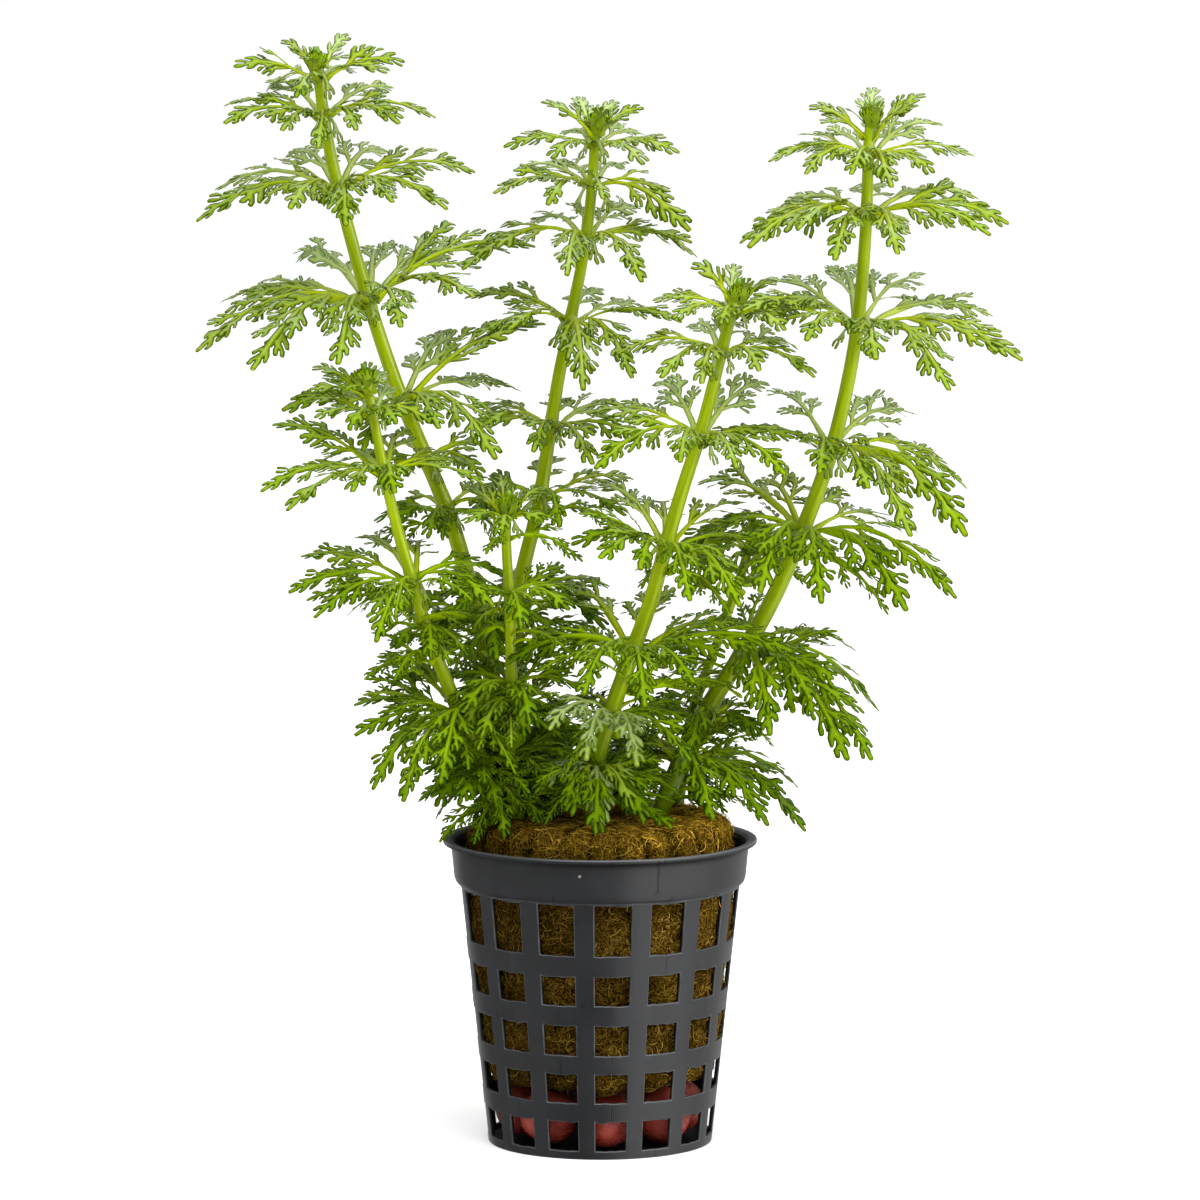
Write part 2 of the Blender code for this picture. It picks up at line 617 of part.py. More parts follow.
def build_whorls(collection, stems, surroundings):
    """Every whorl of every shoot: the drawn leaves find their place first, then the fillers."""
    dice = random.Random(8)
    plans = []
    obstacles = [tree_of_object(thing) for thing in surroundings]
    for shoot, whorls in WHORLS.items():
        for number, whorl in enumerate(whorls, 1):
            tiers = whorl_leaves(shoot, whorl, dice)
            shape, faces = build_collar(shoot, whorl, tiers)
            shape.verts.index_update()
            for leaves, row in zip(tiers, faces):
                share_faces(leaves, row)
            collar = tree_of([v.co.copy() for v in shape.verts],
                             [tuple(v.index for v in f.verts) for f in shape.faces])
            plans.append((shoot, number, shape, [leaf for leaves in tiers for leaf in leaves], collar))
    stem_trees = {shoot: tree_of_object(stem) for shoot, stem in stems.items()}
    placed = []
    siblings = {id(plan[2]): [] for plan in plans}
    for drawn in (True, False):
        for shoot, number, shape, leaves, collar in plans:
            around = obstacles + list(stem_trees.values())
            around += [plan[4] for plan in plans if plan[2] is not shape]
            around += [tree for owner, tree in placed if owner is not shape]
            for leaf in leaves:
                if leaf.drawn is not drawn:
                    continue
                trees = place_leaf(leaf, face_corners(leaf.face, leaf.node), around, siblings[id(shape)])
                if trees:
                    siblings[id(shape)].append(trees[0])
                    placed.append((shape, trees[1]))
    for shoot, number, shape, leaves, collar in plans:
        for leaf in leaves:
            if leaf.rings:
                grow_leaf(shape, leaf.face, leaf)
        bmesh.ops.remove_doubles(shape, verts=shape.verts[:], dist=1e-7)
        bmesh.ops.triangulate(shape, faces=shape.faces[:])
        bmesh.ops.recalc_face_normals(shape, faces=shape.faces[:])
        mesh_object(f"shoot_{shoot}_whorl_{number}", shape, collection, LEAF_GREEN)


def main():
    """Build the potted plant."""
    empty_scene()
    plant = new_collection("potted limnophila heterophylla")
    cutters = new_collection("cutters")
    pot = build_net_pot(plant)
    wool = build_wool(plant, cutters)
    build_clay_balls(plant)
    stems = {shoot: build_stem(shoot, plant) for shoot in SHOOTS}
    build_whorls(plant, stems, [pot, wool])


main()
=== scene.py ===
"""The looks of a potted Limnophila heterophylla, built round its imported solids.

Every whorl of plain blades is replaced by a joined mesh of divided leaves, grown along the blades'
own midribs. Stems, buds, rock wool, clay balls and the net pot get their fine surfaces.
Lengths are in metres unless a name ends in _MM or a comment says otherwise.
"""

import math
import random

import bmesh
import bpy
import numpy as np
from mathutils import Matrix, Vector, noise
from mathutils.geometry import delaunay_2d_cdt


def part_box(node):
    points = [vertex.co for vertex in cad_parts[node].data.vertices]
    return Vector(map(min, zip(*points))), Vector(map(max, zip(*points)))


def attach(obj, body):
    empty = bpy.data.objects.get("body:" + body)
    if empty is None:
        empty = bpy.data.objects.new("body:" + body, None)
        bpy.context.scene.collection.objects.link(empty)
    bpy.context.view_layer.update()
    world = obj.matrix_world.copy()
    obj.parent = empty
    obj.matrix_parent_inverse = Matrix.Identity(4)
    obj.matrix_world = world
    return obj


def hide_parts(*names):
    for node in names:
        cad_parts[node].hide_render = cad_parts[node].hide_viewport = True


MM = 0.001
UP = Vector((0, 0, 1))

# The photograph's camera, a long lens a little above the plant, and its light
CAMERA_PLACE = (0.0, -1.2, 0.2311)
CAMERA_PITCH = 0.1168
CAMERA_LENS_MM = 219.6
CAMERA_SENSOR_MM = 36.0
SURROUNDINGS = 1.08             # brightness of the white that lights the plant from all sides

# Leaves
ARCH = 0.13                     # height of a leaf's arch over its length, as in the solids
ARCH_AT = 0.45
HANGING_ARCH = 0.35             # and what is added to it for each metre that the tip hangs below the foot
LEAF_ROLL = math.radians(33)    # how far leaves turn their upper faces to the front
ROLL_SPREAD = 0.14              # radians by which that differs
TWIST_SPREAD = 0.30             # most twist in radians between a leaf's foot and tip
CURLS = (0.03, 0.11)            # radians by which pinnae bend down for each mm of the plan
TROUGH = 0.14                   # slope by which a leaf rises at first, beside its midrib
TROUGH_REACH = 2.5 * MM
WAVE = 0.10
PLAN_LENGTHS_MM = (6, 8, 10.5, 13.5, 17, 21, 25, 29)
THREAD_LENGTHS_MM = (7, 10, 13, 16)
BUD_LEAF_MM = 3.4
PLANS_PER_LENGTH = 3
FIELD_STEP_MM = 0.13            # grid on which a blade's outline is found
WEB_MM = 0.05                   # rounding between a branch and its lobes
SLIT_MM = 0.22                  # between neighbouring lobes that would touch
BLADE_RISE_MM = 0.10            # how far a lobe's face stands over its edge
RISE_OVER_MM = 0.36             # the width of the slope up to it
RIM_MM = 0.50                   # how far in from the outline a lobe's rim is coloured
INNER_STEP_MM = 0.85            # between a blade's inner points
INNER_DEPTH_MM = 0.14           # and from them to the outline
MARGIN_MM = 1.2                 # of the grid round a blade
SPINE_STEPS = 48

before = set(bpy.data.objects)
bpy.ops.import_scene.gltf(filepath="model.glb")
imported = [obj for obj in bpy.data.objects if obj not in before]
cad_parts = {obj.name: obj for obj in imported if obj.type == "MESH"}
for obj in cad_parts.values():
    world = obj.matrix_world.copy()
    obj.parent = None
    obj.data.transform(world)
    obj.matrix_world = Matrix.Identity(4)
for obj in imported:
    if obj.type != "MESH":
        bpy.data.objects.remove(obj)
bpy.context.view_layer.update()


def smoothstep(low, high, x):
    """Ease from 0 at low to 1 at high."""
    t = np.clip((x - low) / (high - low), 0, 1)
    return t * t * (3 - 2 * t)


def travelled(points):
    """How far along a line of points each of them is."""
    return np.concatenate([[0], np.cumsum(np.linalg.norm(np.diff(points, axis=0), axis=1))])


def unit_rows(rows):
    """Rows of vectors, each made one long."""
    return rows / np.linalg.norm(rows, axis=1)[:, None]


def between_rows(at, knots, rows):
    """Rows of places, worked out at new values between their knots."""
    return np.stack([np.interp(at, knots, rows[:, i]) for i in range(3)], axis=1)


def middle_of(verts):
    """The mean place of some corners, the same in whatever order they come."""
    return Vector(np.mean(sorted(tuple(vert.co) for vert in verts), axis=0))


def corners_of(node_name):
    """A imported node's shape with its corners joined."""
    shape = bmesh.new()
    shape.from_mesh(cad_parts[node_name].data)
    bmesh.ops.remove_doubles(shape, verts=shape.verts, dist=1e-6)
    return shape


def add_mesh(mesh):
    """Put a mesh in the scene, as an object of the same name."""
    made = bpy.data.objects.new(mesh.name, mesh)
    bpy.context.scene.collection.objects.link(made)
    return made


def add_shape(shape, name):
    """Turn a finished bmesh into a smooth object."""
    mesh = bpy.data.meshes.new(name)
    shape.to_mesh(mesh)
    shape.free()
    mesh.shade_smooth()
    return add_mesh(mesh)


def join_rings(shape, rings, is_open=lambda row, i: False):
    """Faces between closed rings that follow each other, apart from those that are left open."""
    for row, (one, two) in enumerate(zip(rings, rings[1:])):
        for i in range(len(one)):
            after = (i + 1) % len(one)
            if not is_open(row, i):
                shape.faces.new((one[i], two[i], two[after], one[after]))


def keep_values(mesh, name, values, domain="POINT"):
    """Store a number, a place or a colour for each point or face of a mesh. Its material reads them."""
    values = np.asarray(values, np.float32)
    kinds = {1: ("FLOAT", "value"), 3: ("FLOAT_VECTOR", "vector"), 4: ("FLOAT_COLOR", "color")}
    kind, field = kinds[values.size // len(values)]
    mesh.attributes.new(name, kind, domain).data.foreach_set(field, values.ravel())


class Branch:
    """Tapered axis lines of a part of a leaf drawn flat, in mm, and the fingers that grow on it."""

    def __init__(self):
        self.rows = []          # start x, y, end x, y, half width at the start and at the end, lobe depth
        self.fingers = []

    def line(self, start, end, width_start, width_end, depth):
        self.rows.append((*start, *end, width_start / 2, width_end / 2, depth))

    def bent(self, start, heading, length, turn, widths, depth, pieces=3):
        """A line that turns a little at each piece. Returns its points and headings."""
        points, headings = [start], []
        for i in range(pieces):
            angle = heading + turn * i / pieces
            step = length / pieces
            end = stepped(points[-1], angle, step)
            low, high = (widths[0] + (widths[1] - widths[0]) * (i + k) / pieces for k in (0, 1))
            self.line(points[-1], end, low, high, depth)
            points.append(end)
            headings.append(angle)
        return points, headings

    def finger(self, start, heading, length, width, depth, curve=0.0):
        """Add a lobe that widens, turns a little and narrows again to a round tip."""
        middle = stepped(start, heading, LOBE_MIDDLE * length)
        end = stepped(middle, heading + curve, (1 - LOBE_MIDDLE) * length - LOBE_TIP * width / 2)
        lobe = Branch()
        lobe.line(start, middle, LOBE_FOOT * width, width, depth)
        lobe.line(middle, end, width, LOBE_TIP * width, depth + TIP_DEPTH)
        self.fingers.append(lobe)

    def all_rows(self):
        return self.rows + [row for finger in self.fingers for row in finger.all_rows()]

    def field(self, x, y):
        """Signed distance from the outline, negative inside. A slit parts neighbouring fingers."""
        own = [capsule(row, x, y) for row in self.rows]
        if self.fingers:
            near = np.sort([finger.field(x, y) for finger in self.fingers], axis=0)[:2]
            slit = (SLIT_MM - near[1] + near[0]) / 2 if len(near) > 1 else near[0]
            own.append(np.maximum(near[0], slit))
        return -WEB_MM * np.log(sum(nearness(distance) for distance in own))


def nearness(distance):
    """A weight that is 1 on an outline, grows fast inside it and fades fast outside."""
    return np.exp(np.clip(-distance / WEB_MM, -60, 60))


def stepped(start, heading, distance):
    """The point a distance away along a heading."""
    return start[0] + math.cos(heading) * distance, start[1] + math.sin(heading) * distance


def capsule(row, x, y):
    """Signed distance from a tapered line with round ends."""
    ax, ay, bx, by, start, end, _ = row
    dx, dy = bx - ax, by - ay
    t = np.clip(((x - ax) * dx + (y - ay) * dy) / (dx * dx + dy * dy), 0, 1)
    return np.hypot(x - ax - t * dx, y - ay - t * dy) - (start + (end - start) * t)


def along(points, headings, at):
    """Place and heading at a share of a bent line."""
    pieces = len(headings)
    i = min(int(at * pieces), pieces - 1)
    part = at * pieces - i
    start, end = points[i], points[i + 1]
    return (start[0] + (end[0] - start[0]) * part, start[1] + (end[1] - start[1]) * part), headings[i]


class Style:
    """How a kind of leaf is cut. Lengths are in lobe widths where nothing else is said."""

    def __init__(self, lobe, lobe_growth, blade, step, reach, spread, pinna_share, pinna_spread, tolerance):
        self.lobe = lobe                    # lobe width in mm on a leaf of no length
        self.lobe_growth = lobe_growth      # added for each mm of leaf
        self.blade = blade                  # width of the blade that the lobes are cut into
        self.step = step                    # between a lobe on one side and the next on the other
        self.reach = reach                  # longest side lobe, from the middle of the blade
        self.spread = math.radians(spread)  # between a side lobe and the blade
        self.pinna_share = pinna_share      # lowest pinna over the leaf
        self.pinna_spread = math.radians(pinna_spread)
        self.tolerance = tolerance          # mm by which an outline may be simplified

    def lobe_width(self, length):
        return self.lobe + self.lobe_growth * length


BROAD = Style(0.80, 0.012, 0.95, 1.04, 3.7, 28, 0.49, 29, 0.026)
THREAD = Style(0.52, 0.006, 0.90, 1.25, 3.6, 32, 0.49, 36, 0.045)
PINNA_TURN = math.radians(13)       # each pinna curves forward by this much
PINNA_TILT = math.radians(8)        # pinnae near a leaf's tip lie this much closer to it
PINNA_STEP = 0.225                  # between pinnae at a leaf's foot, over its length
LOBE_MIDDLE = 0.60                  # where a lobe is widest, over its length
LOBE_FOOT, LOBE_TIP = 0.70, 0.72    # its width there over the greatest
TIP_DEPTH = 0.3                     # how much deeper a lobe's tip counts than its foot
END_LOBE = 2.70                     # length of the lobe at a blade's tip, in widths
FIRST_LOBE = 2.45                   # length of the side lobe next to it
LOBE_GROWTH = 0.24                  # added to each further one
FORKED_FROM = 2.8                   # length from which side lobes may be forked
FORKED_SHARE = 0.45                 # of those are


def add_lobes(branch, line, length, width, style, dice, lowest):
    """The lobe at a blade's tip, and lobes on both sides that get longer down to a lowest distance."""
    tip, heading = along(*line, max(1 - END_LOBE * width / length, 0))
    branch.finger(tip, heading, min(END_LOBE * width, length), 1.04 * width, 1.0)
    side = dice.choice((-1, 1))
    back = (END_LOBE - 0.05) * width * dice.uniform(0.94, 1.06)
    reach = FIRST_LOBE
    while length - back > lowest:
        place, heading = along(*line, 1 - back / length)
        size = min(reach, style.reach) * width * dice.uniform(0.90, 1.10)
        spread = side * style.spread * dice.uniform(0.85, 1.15)
        branch.finger(place, heading + spread, size, width * dice.uniform(0.90, 1.04), 1.0, -0.35 * spread)
        if reach > FORKED_FROM and dice.random() < FORKED_SHARE:
            fork = stepped(place, heading + spread, 0.36 * size)
            branch.finger(fork, heading + 1.9 * spread, 0.52 * size, 0.84 * width, 1.0, -0.5 * spread)
        side = -side
        back += style.step * width * dice.uniform(0.90, 1.12)
        reach += LOBE_GROWTH


def draw_pinna(length, side, width, style, dice):
    """A side branch of a leaf, along +X from its foot: a short stalk that widens into a lobed blade."""
    pinna = Branch()
    widths = (0.66 * width, style.blade * width)
    line = pinna.bent((0, 0), 0.0, length, -side * PINNA_TURN, widths, 0.5, pieces=4)
    pinna.rows = pinna.rows[:max(1, math.ceil(4 * (length - END_LOBE * width) / length))]
    add_lobes(pinna, line, length, width, style, dice, 0.5 * width + 0.10 * length)
    return pinna


def draw_rachis(length, width, style, dice):
    """The petiole and midrib of a leaf, with the blade at its tip. Returns its midline too."""
    rachis = Branch()
    petiole = 0.70 + 0.016 * length
    sway = dice.uniform(-0.16, 0.16)
    blade = min(6.2 * width, 0.62 * length)
    line = rachis.bent((0, 0), -sway / 2, length, sway, (petiole, 0.86 * width), 0.0, pieces=6)
    rachis.rows = rachis.rows[:max(2, math.ceil(6 * (length - END_LOBE * width) / length))]
    rachis.line((0, 0), stepped((0, 0), -sway / 2, 0.08 * length), 1.8 * petiole, petiole, 0.0)
    start, _ = along(*line, 1 - 0.75 * blade / length)
    end, _ = along(*line, 1 - END_LOBE * width / length)
    rachis.line(start, end, 0.86 * width, style.blade * width, 0.5)
    add_lobes(rachis, line, length, 1.06 * width, style, dice, length - blade)
    return rachis, line


def draw_bud_leaf(length, dice):
    """A short scale with a broad foot and a few blunt lobes at its end."""
    leaf = Branch()
    leaf.line((0, 0), (0.55 * length, 0), 0.34 * length, 0.40 * length, 0.2)
    for spread in (-0.60, -0.20, 0.20, 0.60):
        start = (0.40 * length, 0.11 * length * math.copysign(1, spread))
        leaf.finger(start, spread, length * dice.uniform(0.48, 0.58), 0.19 * length, 0.9)
    leaf.finger((0.5 * length, 0), 0.0, 0.5 * length, 0.20 * length, 1.0)
    return leaf


def outline_loops(values, xs, ys):
    """Closed loops where a sampled field crosses zero."""
    inside = values < 0
    links = {}

    def crossing(i, j, k, m):
        a, b = values[i, j], values[k, m]
        part = a / (a - b)
        return (xs[i] + (xs[k] - xs[i]) * part, ys[j] + (ys[m] - ys[j]) * part)

    cells = inside[:-1, :-1].astype(int) + inside[1:, :-1] + inside[1:, 1:] + inside[:-1, 1:]
    places = {}
    for i, j in zip(*np.nonzero((cells > 0) & (cells < 4))):
        corners = ((i, j), (i + 1, j), (i + 1, j + 1), (i, j + 1))
        state = [inside[c] for c in corners]
        cuts = []
        for n in range(4):
            m = (n + 1) % 4
            if state[n] != state[m]:
                key = tuple(sorted((corners[n], corners[m])))
                if key not in places:
                    places[key] = crossing(*corners[n], *corners[m])
                cuts.append((state[n], key))
        leaving = [key for inner, key in cuts if inner]
        entering = [key for inner, key in cuts if not inner]
        for one, two in zip(leaving, entering if len(leaving) == 1 else entering[::-1]):
            links.setdefault(one, []).append(two)
            links.setdefault(two, []).append(one)
    loops = []
    unused = set(links)
    while unused:
        start = min(unused)
        loop = [start]
        unused.discard(start)
        while True:
            after = next((key for key in links[loop[-1]] if key in unused), None)
            if after is None:
                break
            loop.append(after)
            unused.discard(after)
        if len(loop) > 8:
            loops.append(np.array([places[key] for key in loop]))
    return loops


def thinned(points, tolerance):
    """The points of an open line that its shape needs."""
    keep = [0, len(points) - 1]
    stack = [(0, len(points) - 1)]
    while stack:
        low, high = stack.pop()
        if high - low < 2:
            continue
        chord = points[high] - points[low]
        size = np.hypot(*chord) or 1e-9
        away = points[low + 1:high] - points[low]
        off = np.abs(away[:, 0] * chord[1] - away[:, 1] * chord[0]) / size
        worst = int(off.argmax())
        if off[worst] > tolerance:
            middle = low + 1 + worst
            keep.append(middle)
            stack += [(low, middle), (middle, high)]
    return points[sorted(keep)]


def simpler_outline(found, tolerance):
    """The points, edges and loops of an outline, without the points that it doesn't need."""
    points, edges, loops = [], [], []
    for loop in found:
        split = len(loop) // 2
        loop = np.concatenate([thinned(loop[:split + 1], tolerance)[:-1],
                               thinned(np.concatenate([loop[split:], loop[:1]]), tolerance)[:-1]])
        first = len(points)
        loops.append(loop)
        points += [tuple(p) for p in loop]
        edges += [(first + i, first + (i + 1) % len(loop)) for i in range(len(loop))]
    return points, edges, loops


def within_loops(points, loops):
    """Which points lie inside an odd number of closed loops."""
    hits = np.zeros(len(points), int)
    for loop in loops:
        start, end = loop, np.roll(loop, -1, axis=0)
        for (ax, ay), (bx, by) in zip(start, end):
            spans = (points[:, 1] >= ay) != (points[:, 1] >= by)
            if spans.any():
                cut = ax + (points[:, 1] - ay) * (bx - ax) / (by - ay)
                hits += spans & (points[:, 0] < cut)
    return hits % 2 == 1


def fill_outline(points, edges, loops):
    """Triangles that fill the part of an outline at the leaf's foot, all looking up.

    Returns the points, the triangles and each point's number in the list it came from, -1 for a new one."""
    found = delaunay_2d_cdt([Vector(p) for p in points], edges, [], 0, 1e-5)
    flat = np.array([tuple(p) for p in found[0]])
    triangles = np.array(found[2])
    triangles = triangles[within_loops(flat[triangles].mean(axis=1), loops)]
    part = np.arange(len(flat))
    while True:
        spread = part.copy()
        np.minimum.at(spread, triangles.ravel(), np.repeat(part[triangles].min(axis=1), 3))
        if (spread == part).all():
            break
        part = spread
    foot = triangles[np.hypot(*flat[triangles].mean(axis=1).T).argmin(), 0]
    triangles = triangles[part[triangles[:, 0]] == part[foot]]
    used = np.unique(triangles)
    renumber = np.full(len(flat), -1)
    renumber[used] = np.arange(len(used))
    triangles = renumber[triangles]
    corner = flat[used][triangles]
    one, two = corner[:, 1] - corner[:, 0], corner[:, 2] - corner[:, 0]
    clockwise = one[:, 0] * two[:, 1] - one[:, 1] * two[:, 0] < 0
    triangles[clockwise] = triangles[clockwise][:, ::-1]
    return flat[used], triangles, np.array([min(found[3][i], default=-1) for i in used])


def inner_chords(triangles, is_border):
    """Inner edges that run from outline to outline."""
    edges = np.sort(triangles[:, [0, 1, 1, 2, 2, 0]].reshape(-1, 2), axis=1)
    unique, uses = np.unique(edges, axis=0, return_counts=True)
    return unique[(uses == 2) & is_border[unique].all(axis=1)]


def sampled_outline(leaf, rows):
    """The loops of a leaf's outline, found on a grid round its axis lines."""
    ends = np.array([row[:4] for row in rows])
    low = np.minimum(ends[:, :2], ends[:, 2:]).min(axis=0) - MARGIN_MM
    high = np.maximum(ends[:, :2], ends[:, 2:]).max(axis=0) + MARGIN_MM
    xs, ys = (np.arange(low[i], high[i], FIELD_STEP_MM) for i in (0, 1))
    return outline_loops(leaf.field(*np.meshgrid(xs, ys, indexing="ij")), xs, ys)


def inner_points(leaf, rows):
    """Points along a leaf's axis lines that are well inside its outline and apart from each other."""
    points = []
    for ax, ay, bx, by, *_ in rows:
        count = max(1, math.ceil(math.hypot(bx - ax, by - ay) / INNER_STEP_MM))
        points += [(ax + (bx - ax) * (i + 0.5) / count, ay + (by - ay) * (i + 0.5) / count)
                   for i in range(count)]
    points = np.array(points)
    chosen = []
    for point, value in zip(points, leaf.field(points[:, 0], points[:, 1])):
        apart = all(math.hypot(*(point - other)) > 0.5 * INNER_STEP_MM for other in chosen)
        if value < -INNER_DEPTH_MM and apart:
            chosen.append(point)
    return chosen


class Blade:
    """A branch given a raised upper face and a flat lower one that meet along its outline.

    Edge is 0 in a lobe's middle and 1 on the outline, and lobe is 0 on a stalk and 1 on a lobe."""

    def __init__(self, leaf, tolerance):
        rows = leaf.all_rows()
        found = sampled_outline(leaf, rows)
        # An outline made so simple that it crosses itself is made less simple
        for share in (1, 0.5, 0.25, 0):
            points, edges, loops = simpler_outline(found, share * tolerance)
            _, lower, lower_origin = fill_outline(points, edges, loops)
            if lower_origin.min() >= 0:
                break
        chosen = inner_points(leaf, rows)
        # The upper face gets a point on every edge that runs from outline to outline
        for _ in range(4):
            flat, upper, origin = fill_outline(points + chosen, edges, loops)
            is_border = origin < len(points)
            chords = inner_chords(upper, is_border)
            if not len(chords):
                break
            chosen += list((flat[chords[:, 0]] + flat[chords[:, 1]]) / 2)
        place = {origin[i]: i for i in np.nonzero(is_border)[0]}
        lower = np.vectorize(lambda i: place[lower_origin[i]])(lower)
        self.faces = np.concatenate([upper, lower[:, ::-1]])
        self.under = np.arange(len(self.faces)) >= len(upper)
        self.x, self.y = flat[:, 0], flat[:, 1]
        inside = np.where(is_border, 0, np.clip(-leaf.field(self.x, self.y), 0.02, None))
        weights = [nearness(capsule(row, self.x, self.y)) for row in rows]
        self.lobe = sum(weight * row[6] for weight, row in zip(weights, rows)) / (sum(weights) + 1e-30)
        rib = 1 - np.clip(self.lobe / 0.5, 0, 1)
        self.z = BLADE_RISE_MM * np.sqrt(np.clip(inside / RISE_OVER_MM, 0, 1.4)) * (1 + rib)
        self.edge = 1 - np.clip(inside / RIM_MM, 0, 1)


class LeafPlan:
    """A whole leaf laid flat along +X, in mm: blades that overlap a little."""

    def __init__(self, length):
        self.length = length
        self.x, self.y, self.z, self.edge, self.lobe, self.shade = (np.empty(0) for _ in range(6))
        self.faces = np.empty((0, 3), int)
        self.under = np.empty(0, bool)

    def lay(self, blade, start=(0, 0), heading=0.0, lift=0.0, twist=0.0, shade=0.5):
        """Add a blade that starts at a point, rises by a slope and is twisted about its own line."""
        self.faces = np.concatenate([self.faces, blade.faces + len(self.x)])
        y = blade.y * math.cos(twist) - blade.z * math.sin(twist)
        z = blade.z * math.cos(twist) + blade.y * math.sin(twist) + blade.x * lift
        self.x = np.concatenate([self.x, start[0] + blade.x * math.cos(heading) - y * math.sin(heading)])
        self.y = np.concatenate([self.y, start[1] + blade.x * math.sin(heading) + y * math.cos(heading)])
        self.z = np.concatenate([self.z, z])
        self.edge = np.concatenate([self.edge, blade.edge])
        self.lobe = np.concatenate([self.lobe, blade.lobe])
        self.shade = np.concatenate([self.shade, np.full(len(blade.x), shade)])
        self.under = np.concatenate([self.under, blade.under])


def divided_leaf(length, style, dice):
    """A leaf whose pinnae get shorter and closer towards its tip."""
    plan = LeafPlan(length)
    width = style.lobe_width(length)
    rachis, line = draw_rachis(length, width, style, dice)
    plan.lay(Blade(rachis, style.tolerance))
    station = length * dice.uniform(0.24, 0.30)
    while station < length - 5.2 * width:
        for side in (-1, 1):
            share = station / length + side * dice.uniform(-0.02, 0.03)
            start, heading = along(*line, share)
            reach = length * style.pinna_share * (1 - share) ** 0.80 * dice.uniform(0.86, 1.10)
            spread = style.pinna_spread - PINNA_TILT * share + dice.uniform(-0.08, 0.08)
            lobe = width * dice.uniform(0.80, 0.98)
            pinna = draw_pinna(max(reach, 3.4 * lobe), side, lobe, style, dice)
            blade = Blade(pinna, style.tolerance)
            plan.lay(blade, start, heading + side * spread, dice.uniform(-0.20, 0.24),
                     dice.uniform(-0.40, 0.40), dice.random())
        station += max((PINNA_STEP - 0.06 * share) * length, 2.7 * width)
    return plan


def bud_scale(length, dice):
    """A small leaf of a bud."""
    plan = LeafPlan(length)
    plan.lay(Blade(draw_bud_leaf(length, dice), BROAD.tolerance))
    return plan


class Plans:
    """Several flat leaves of every kind and length, so that no two neighbours look alike."""

    def __init__(self):
        dice = random.Random(21)
        turns = range(PLANS_PER_LENGTH)
        self.broad = [[divided_leaf(length, BROAD, dice) for _ in turns] for length in PLAN_LENGTHS_MM]
        self.thread = [[divided_leaf(length, THREAD, dice) for _ in turns] for length in THREAD_LENGTHS_MM]
        self.bud = [bud_scale(BUD_LEAF_MM, dice) for _ in turns]

    def pick_broad(self, length, dice):
        return dice.choice(closest(self.broad, PLAN_LENGTHS_MM, length))

    def pick_thread(self, length, dice):
        return dice.choice(closest(self.thread, THREAD_LENGTHS_MM, length))


def closest(plans, sizes, length):
    """The entry whose size in mm is nearest to a length in metres."""
    off = [abs(math.log(length / (size * MM))) for size in sizes]
    return plans[off.index(min(off))]


class Leaf:
    """Where a leaf starts and ends, and how far its middle bulges."""

    def __init__(self, base, tip, bow=None):
        self.base = base
        self.tip = tip
        self.bow = bow or Vector()

    @property
    def length(self):
        return (self.tip - self.base).length


def leaves_of(node_name):
    """Leaves of a packed whorl. A leaf's tip is a corner where only three edges meet."""
    shape = corners_of(node_name)
    tips = [vert for vert in shape.verts if len(vert.link_edges) == 3]
    found = []
    for tip in tips:
        seen = {tip}
        ring = {edge.other_vert(tip) for edge in tip.link_edges}
        while len(ring) == 3:
            seen |= ring
            ring = {edge.other_vert(vert) for vert in ring for edge in vert.link_edges} - seen
        if len(ring) == 4:
            found.append((middle_of(ring), tip.co.copy()))
    shape.free()
    return found


def spine(leaf):
    """Points of a leaf's midrib, evenly spaced and arched as in the solids, and its length."""
    rise = 2 * ARCH * leaf.length + HANGING_ARCH * max(0.0, leaf.base.z - leaf.tip.z)
    control = leaf.base.lerp(leaf.tip, ARCH_AT) + UP * rise + leaf.bow * 2
    t = np.linspace(0, 1, SPINE_STEPS)[:, None]
    base, control, tip = (np.array(point) for point in (leaf.base, control, leaf.tip))
    points = (1 - t) ** 2 * base + 2 * t * (1 - t) * control + t ** 2 * tip
    reach = travelled(points)
    return between_rows(np.linspace(0, reach[-1], SPINE_STEPS), reach, points), reach[-1]


def leaf_sides(leaf, line, roll, dice):
    """The ways along, across and out of a leaf's upper face, at each point of its midrib."""
    along_it = unit_rows(np.gradient(line, axis=0))
    heading = Vector((leaf.tip.x - leaf.base.x, leaf.tip.y - leaf.base.y, 0)).normalized()
    level = np.array((-heading.y, heading.x, 0))
    above = unit_rows(np.cross(along_it, level))
    angle = roll * level[1] + dice.uniform(-ROLL_SPREAD, ROLL_SPREAD)
    twist = dice.uniform(-TWIST_SPREAD, TWIST_SPREAD)
    angles = (angle + twist * np.linspace(-0.3, 0.7, len(line)))[:, None]
    across = level * np.cos(angles) + above * np.sin(angles)
    return along_it, across, above * np.cos(angles) - level * np.sin(angles)


def droop(plan, y, scale, curl, dice):
    """Where points beside a midrib come to lie, across and above it, once its pinnae curl and wave."""
    curl = (dice.uniform(*CURLS) if curl is None else curl) / (MM * scale)
    off = np.abs(y)
    turn = curl * off
    height = -(1 - np.cos(turn)) / curl + TROUGH * off * np.exp(-off / TROUGH_REACH)
    phase = [dice.uniform(0, 2 * math.pi) for _ in range(3)]
    wave = (np.sin(plan.x * 0.9 + phase[0]) * np.cos(plan.y * 0.8 + phase[1])
            + 0.5 * np.sin(plan.x * 2.1 + phase[2])) * off * WAVE
    return np.sign(y) * np.sin(turn) / curl, height + wave


